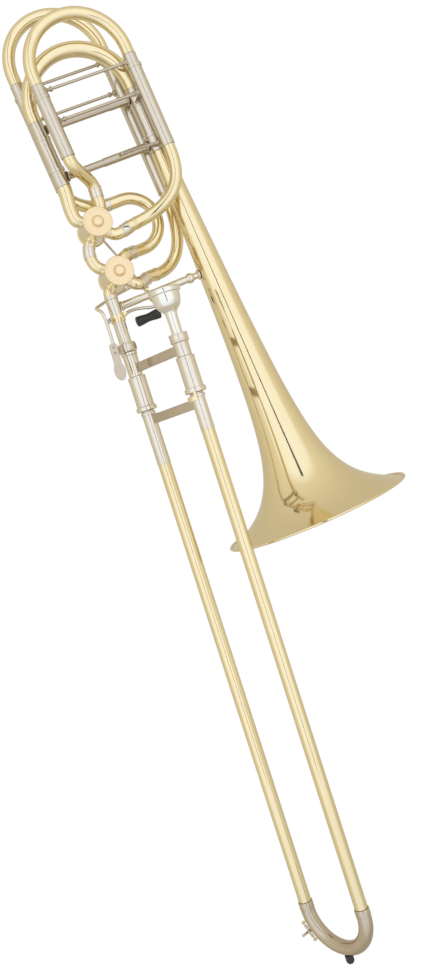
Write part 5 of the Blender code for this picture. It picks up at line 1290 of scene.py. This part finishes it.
class InnerSlideOperator(bpy.types.Operator):
    """Makes the inner hand slide: tubes, cork barrels, brace with its receivers, and the slide lock"""

    bl_idname = "trombone.inner_slide"
    bl_label = "Inner hand slide"

    def execute(self, context):
        bore = slide_sizes().bore / 2 / MM
        tube, hole, inside = bore + 0.3, bore + 0.6, BARREL_RADIUS - 0.9
        low, plain, top = -BARREL_BOTTOM, BARREL_RADIUS - 0.25, -BARREL_TOP
        right = shifted(SLIDE_FRAME, spacing())
        for side, where in (("left", SLIDE_FRAME), ("right", right)):
            points = pipe(tube, bore, top - FIT, INNER_TUBE_END)
            piece(f"inner_{side}_tube", lathe(points, where, True, 0.1, 48), "nickel", BODY,
                  f"inner_slide_{side}_tube")
            foot = [(plain, low + 5.9), (12.3, low + 5.4), (12.9, low + 4.8), (12.9, low + 0.6), (12.4, low)]
            points = [
                (BARREL_RADIUS - 0.6, top), (BARREL_RADIUS, top - 0.8), (BARREL_RADIUS, top - 3.6),
                (plain, top - 4.0), *(foot if side == "left" else [(plain, low)]), (inside, low),
                (inside, top - 3.0), (hole, top - 3.0), (hole, top),
            ]
            piece(f"{side}_cork_barrel", lathe(points, where, True, 0.4), "nickel", BODY,
                  f"cork_barrel_{side}")
        self.receivers(bore, right)
        self.lock(right)
        return {"FINISHED"}

    def receivers(self, bore, right):
        """The slide's socket, the mouthpiece receiver and the flat brace soldered between them."""
        top = NUT_AT - NUT_LENGTH - FIT
        bottom = -BARREL_TOP + FIT
        socket = [
            (9.7, top), (10.2, top - 0.5), (10.2, top - 3.4), (9.7, top - 4.0), (9.2, top - 4.4),
            (8.6, bottom), (bore, bottom), (bore, top),
        ]
        receiver = [
            (10.9, -84.5), (11.4, -85.0), (11.4, -86.3), (11.0, -86.8), (11.0, -92.0), (11.4, -92.5),
            (11.4, -94.0), (10.8, -94.6), (9.6, -95.6), (9.3, -97.0), (9.3, bottom), (bore, bottom),
            (bore, -84.5),
        ]
        brace = brace_bar(8.6, spacing() - 9.3 + 2 * SOLDER, -INNER_BRACE_AT)
        made = merged(lathe(socket, SLIDE_FRAME, True, 0.3), lathe(receiver, right, True, 0.35))
        piece("slide_receivers", made, "nickel", BODY, "inner_slide_brace")
        piece("inner_brace_bar", brace, "dull_shaded_nickel", BODY, "inner_slide_brace")

    def lock(self, where):
        """The lock ring at the foot of the right cork barrel, and its brass strip with a hooked end."""
        low = -BARREL_BOTTOM
        inner = BARREL_RADIUS + 0.1
        ring = [(12.3, low + 5.9), (12.9, low + 5.3), (12.9, low + 0.6), (12.4, low), (inner, low),
                (inner, low + 5.9)]
        piece("slide_lock_ring", lathe(ring, where, True, 0.2), "nickel", "lock_ring", "slide_lock")
        turn = where @ Matrix.Rotation(LOCK_ANGLE, 4, "Z")
        start, thick, end = 11.6, 1.8, low - 9.6
        strip = box((start, -1.7, end + 2.1), (start + thick, 1.7, low + 1.1), turn, 0.6)
        hook = curved_bar(start, thick, (end, end + 6.0), (14.0, -58.0), turn)
        spot = shifted(turn @ Matrix.Rotation(math.radians(-42.0), 4, "Z"), start, 0, end + 2.6)
        hook = cut(hook, disc(spot @ TO_X, 1.5, 9.0, 0.0, ROD_SIDES))
        piece("slide_lock_hook", merged(strip, hook), "brass", "lock_ring", "slide_lock")


class MouthpieceOperator(bpy.types.Operator):
    """Makes the mouthpiece: rim, cup, throat and shank"""

    bl_idname = "trombone.mouthpiece"
    bl_label = "Mouthpiece"

    def execute(self, context):
        points = [(r, -depth) for r, depth in MOUTHPIECE_OUTSIDE + MOUTHPIECE_INSIDE]
        made = lathe(points, shifted(SLIDE_FRAME, spacing(), 0, -RIM_AT), True, 0.5, 96)
        piece("mouthpiece_cup_and_shank", made, "silver", "mouthpiece_body", "mouthpiece")
        return {"FINISHED"}


class OuterSlideOperator(bpy.types.Operator):
    """Makes the outer hand slide: handle with sleeves, tubes, end bow and bumper"""

    bl_idname = "trombone.outer_slide"
    bl_label = "Outer hand slide"

    def execute(self, context):
        bore = slide_sizes().bore / 2 / MM + 0.6
        tube = bore + 0.35
        sleeve = tube + 0.25
        wide = spacing()
        reach = sleeve - SOLDER
        brace = brace_bar(reach, wide - reach, -OUTER_BRACE_AT)
        path = u_turn(0.0, wide, 0.0, 1.0 - BOW_AT, -BOW_AT, 180)
        bow = [sweep(path, BOW_RADIUS, "nickel", 0.8, SLIDE_FRAME, 48)]
        sleeves = []
        for side, x, end in (("left", 0.0, -224.0), ("right", wide, -201.0)):
            where = shifted(SLIDE_FRAME, x)
            points = [
                (tube, -124.0), (tube, -158.0), (sleeve + 0.7, -158.0), (sleeve + 1.0, -158.4),
                (sleeve + 1.0, -161.6), (sleeve + 0.7, -162.0), (sleeve, -162.0), (sleeve, end + 3.0),
                (sleeve + 0.2, end + 2.6), (sleeve + 0.2, end), (bore, end), (bore, -124.0),
            ]
            sleeves.append(lathe(points, where, True, 0.15))
            points = pipe(tube, bore, end - FIT, OUTER_TUBE_END)
            piece(f"outer_{side}_tube", lathe(points, where, True, 0.1), "brass", "hand_slide",
                  f"outer_slide_{side}_tube")
            bow.append(lathe(pipe(9.2, bore, OUTER_TUBE_END - FIT, -BOW_AT), where, True, 0.3))
        piece("outer_sleeves", merged(*sleeves), "nickel", "hand_slide", "outer_slide_handle")
        piece("outer_brace_bar", brace, "dull_shaded_nickel", "hand_slide", "outer_slide_handle")
        piece("end_bow_tube", merged(*bow), "dull_shaded_nickel", "hand_slide", "end_bow")
        tip = [(0.0, 0.0), (5.2, 0.0), (5.2, -6.4), (5.0, -8.0), (4.3, -9.6), (2.9, -11.0), (0.0, -11.0)]
        place = shifted(SLIDE_FRAME, wide / 2, 0, -BOW_AT - wide / 2 - BOW_RADIUS - FIT)
        piece("bow_bumper", lathe(tip, place, False, 0.5), "rubber", "hand_slide", "bumper")
        return {"FINISHED"}


class WaterKeyOperator(bpy.types.Operator):
    """Makes the water key on the bow: saddle, lever, nipple, cork and springs"""

    bl_idname = "trombone.water_key"
    bl_label = "Water key"

    def execute(self, context):
        half = spacing() / 2
        outwards = Vector((-math.cos(KEY_ANGLE), 0.0, -math.sin(KEY_ANGLE)))
        along = Vector((-math.sin(KEY_ANGLE), 0.0, math.cos(KEY_ANGLE)))
        turn = Matrix((outwards, along.cross(outwards), along)).transposed().to_4x4()
        where = shifted(SLIDE_FRAME, *(Vector((half, 0.0, -BOW_AT)) + outwards * half)) @ turn
        hinge = shifted(where, KEY_HINGE)
        self.saddle(where, hinge, half)
        self.lever(where, hinge)
        for side, flip in (("upper", 0.0), ("lower", math.pi)):
            coil = grown(coil_tree(), "steel", Turns=3.0, Coil_radius=1.9, Height=5.3, Wire_radius=0.3)
            place = shifted(hinge @ Matrix.Rotation(flip, 4, "X"), z=3.5)
            piece(f"key_{side}_coil", tidied(coil, place), "steel", "hand_slide",
                  f"water_key_{side}_spring")
        return {"FINISHED"}

    def saddle(self, where, hinge, half):
        base = BOW_RADIUS + FIT
        parts = [disc(hinge, 0.9, 2 * KEY_POST),
                 box((base, -2.3, -KEY_POST), (base + 1.3, 2.3, KEY_POST), where)]
        foot = math.sqrt((half + BOW_RADIUS) ** 2 - KEY_POST**2) - half + FIT
        for z in (-KEY_POST, KEY_POST):
            parts.append(box((foot, -2.3, z - 1.3), (KEY_HINGE, 2.3, z + 1.3), where, 0.5))
            ball = round_points((0.0, 0.0), (2.3, 2.3), -90, 180, 16)
            parts.append(lathe(ball, shifted(hinge, z=z), False, 0.0, 32))
        piece("key_saddle", merged(*parts), "brass", "hand_slide", "water_key_saddle")

    def lever(self, where, hinge):
        top = BOW_RADIUS + FIT + 3.2
        pad = top + FIT
        cup = pad + 2.6 + FIT
        side = where @ Matrix.Rotation(-NIPPLE_SIDE, 4, "Z")
        over = Matrix.Rotation(-NIPPLE_SIDE, 3, "Z") @ Vector((cup + 1.5 + 0.9, 0.0, 0.0))
        over -= Vector((KEY_HINGE, 0.0, 0.0))
        route = [Vector((4.0, 10.0, 0.0)), Vector((0.0, 0.0, 0.0)), Vector((1.5, over.y * 0.5, 0.0)), over,
                 over - Vector((3.7, 3.7, 0.0)) * 0.5]
        parts = [wire(rounded(route, 3.0), 1.5, hinge),
                 lathe(pipe(2.3, 1.2, 2.6, -2.6), hinge, True, 0.3, 40), self.stub(side, cup, 4.1, 1.5)]
        piece("key_lever", merged(*parts), "dull_shaded_nickel", "water_key", "water_key_lever")
        piece("key_cork", self.stub(side, pad, 3.7, 2.6), "cork", "water_key", "water_key_cork")
        nipple = [(3.145, 3.2), (4.07, 0.0), (1.85, 0.0), (1.85, 3.2)]
        nipple = lathe(nipple, shifted(side, top - 3.2) @ TO_X, True, 0.2, 40)
        piece("key_nipple", nipple, "brass", "hand_slide", "water_key_nipple")

    def stub(self, side, reach, radius, length):
        return disc(shifted(side, reach + length / 2) @ TO_X, radius, length, 0.3)


class StageOperator(bpy.types.Operator):
    """Makes the floor, the studio light and the camera"""

    bl_idname = "trombone.stage"
    bl_label = "Stage"

    def execute(self, context):
        self.floor()
        self.world(context.scene)
        self.lamps()
        self.camera(context.scene)
        context.scene.view_settings.view_transform = "Standard"
        return {"FINISHED"}

    def floor(self):
        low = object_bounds()[0][2] - FLOOR_DROP
        work = bmesh.new()
        bmesh.ops.create_circle(work, cap_ends=True, segments=96, radius=FLOOR_RADIUS,
                                matrix=Matrix.Translation((0, 0, low)))
        obj = placed("floor", meshed(work))
        obj.visible_glossy = False
        made = bpy.data.materials.new("pale_floor")
        made.use_nodes = True
        tree = made.node_tree
        path = tree.nodes.new("ShaderNodeLightPath")
        seen = calc(tree, "MAXIMUM", path.outputs["Is Camera Ray"], path.outputs["Is Glossy Ray"])
        wired(tree, tree.nodes["Principled BSDF"], Base_Color=(0.86, 0.86, 0.86, 1.0), Roughness=0.9,
              Emission_Color=(1.0, 1.0, 1.0, 1.0), Emission_Strength=calc(tree, "MULTIPLY", seen, FLOOR_GLOW))
        obj.data.materials.append(made)
        obj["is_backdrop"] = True

    def world(self, scene):
        """White to the camera. Metal sees a bright front, calmer sides and a slim dark gap."""
        world = bpy.data.worlds.new("studio")
        scene.world = world
        world.use_nodes = True
        tree = world.node_tree
        tree.nodes.clear()
        to_camera = (BELL_FRAME @ CAMERA_AT).normalized()
        side = Vector((-to_camera.y, to_camera.x, 0.0)).normalized()
        way = tree.nodes.new("ShaderNodeTexCoord").outputs["Generated"]

        def dot(axis):
            made = node(tree, "ShaderNodeVectorMath", way, axis, operation="DOT_PRODUCT")
            return made.outputs["Value"]

        def times(a, b):
            return calc(tree, "MULTIPLY", a, b)

        facing, across, rise = dot(to_camera), dot(side), dot(Vector((0.0, 0.0, 1.0)))
        ramp = node(tree, "ShaderNodeValToRGB", calc(tree, "MULTIPLY_ADD", facing, 0.5, 0.5))
        # Place on the ramp, from behind the object to the camera, and the level there
        stops = (
            (0.0, (0.62, 0.57, 0.46)), (0.12, (0.67, 0.62, 0.50)), (0.32, (0.74, 0.69, 0.57)),
            (0.70, (0.90, 0.86, 0.71)), (0.82, (1.15, 1.19, 1.25)), (1.0, (1.19, 1.23, 1.30)),
        )
        points = ramp.color_ramp.elements
        while len(points) < len(stops):
            points.new(0.5)
        for point, (spot, level) in zip(points, stops):
            point.position = spot
            point.color = (*level, 1.0)
        slim = calc(tree, "LESS_THAN", calc(tree, "ABSOLUTE", across), GAP_WIDTH)
        slim = times(slim, calc(tree, "GREATER_THAN", facing, 0.0))
        reach = times(calc(tree, "GREATER_THAN", rise, GAP_LIMIT[0]),
                      calc(tree, "LESS_THAN", rise, GAP_LIMIT[1]))
        gap = calc(tree, "MULTIPLY_ADD", times(slim, reach), -GAP_DEPTH, 1.0)
        low = node(tree, "ShaderNodeMapRange", rise, *LOW_SHADE, clamp=True)
        path = tree.nodes.new("ShaderNodeLightPath").outputs
        seen = calc(tree, "MAXIMUM", path["Is Camera Ray"], path["Is Transmission Ray"])
        plain = node(tree, "ShaderNodeBackground", (1.0, 1.0, 1.0, 1.0),
                     calc(tree, "MULTIPLY_ADD", seen, 1.0 - FILL_LEVEL, FILL_LEVEL))
        mirrored = node(tree, "ShaderNodeBackground", ramp, times(gap, low))
        both = node(tree, "ShaderNodeMixShader", path["Is Glossy Ray"], plain, mirrored)
        node(tree, "ShaderNodeOutputWorld", Surface=both)

    def lamps(self):
        for name, place, size, power in (
            ("front_softbox", (-1.5, -1.9, 0.9), 1.0, 5.0), ("right_softbox", (1.9, -1.0, 0.6), 0.9, 3.0),
            ("back_softbox", (0.4, 2.2, 1.1), 1.0, 4.0),
        ):
            light = bpy.data.lights.new(name, "AREA")
            light.size = size
            light.energy = power
            obj = placed(name, light)
            obj.visible_glossy = False
            obj.location = place
            obj.rotation_euler = (-Vector(place)).to_track_quat("-Z", "Y").to_euler()

    def camera(self, scene):
        data = bpy.data.cameras.new("photo_view")
        data.sensor_width = 36.0
        data.sensor_fit = "AUTO"
        data.lens = CAMERA_LENS
        data.clip_start = 0.05
        obj = placed("photo_view", data)
        back = CAMERA_RIGHT.cross(-CAMERA_DOWN).normalized()
        turn = Matrix((CAMERA_RIGHT, -CAMERA_DOWN, back)).transposed().to_4x4()
        obj.matrix_world = Matrix.Translation(BELL_FRAME @ CAMERA_AT) @ turn
        scene.camera = obj


PIECES = (
    BellOperator, MainSlideOperator, LoopsOperator, ValvesOperator, ValveTubesOperator, BracesOperator,
    LeversOperator, NeckOperator, InnerSlideOperator, MouthpieceOperator, OuterSlideOperator,
    WaterKeyOperator, StageOperator,
)


class TrombonePanel(bpy.types.Panel):
    """The trombone's sizes, colours and pieces"""

    bl_idname = "VIEW3D_PT_trombone"
    bl_label = "Trombone"
    bl_space_type = "VIEW_3D"
    bl_region_type = "UI"
    bl_category = "Trombone"

    def draw(self, context):
        for group in GROUPS:
            rows = self.layout.box()
            values = getattr(context.scene, group)
            for key in values.bl_rna.properties.keys():
                if key not in ("rna_type", "name"):
                    rows.prop(values, key)
        for made in PIECES:
            self.layout.operator(made.bl_idname)


GROUPS = {"trombone_bell": BellSizes, "trombone_slides": SlideSizes, "trombone_colours": FinishColours}


def register():
    for made in (*GROUPS.values(), *PIECES, TrombonePanel):
        bpy.utils.register_class(made)
    for name, made in GROUPS.items():
        setattr(bpy.types.Scene, name, bpy.props.PointerProperty(type=made))


def unregister():
    for name in GROUPS:
        delattr(bpy.types.Scene, name)
    for made in (TrombonePanel, *reversed(PIECES), *GROUPS.values()):
        bpy.utils.unregister_class(made)


def main():
    register()
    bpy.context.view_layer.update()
    for made in PIECES:
        group, name = made.bl_idname.split(".")
        getattr(getattr(bpy.ops, group), name)()


if __name__ == "__main__":
    main()
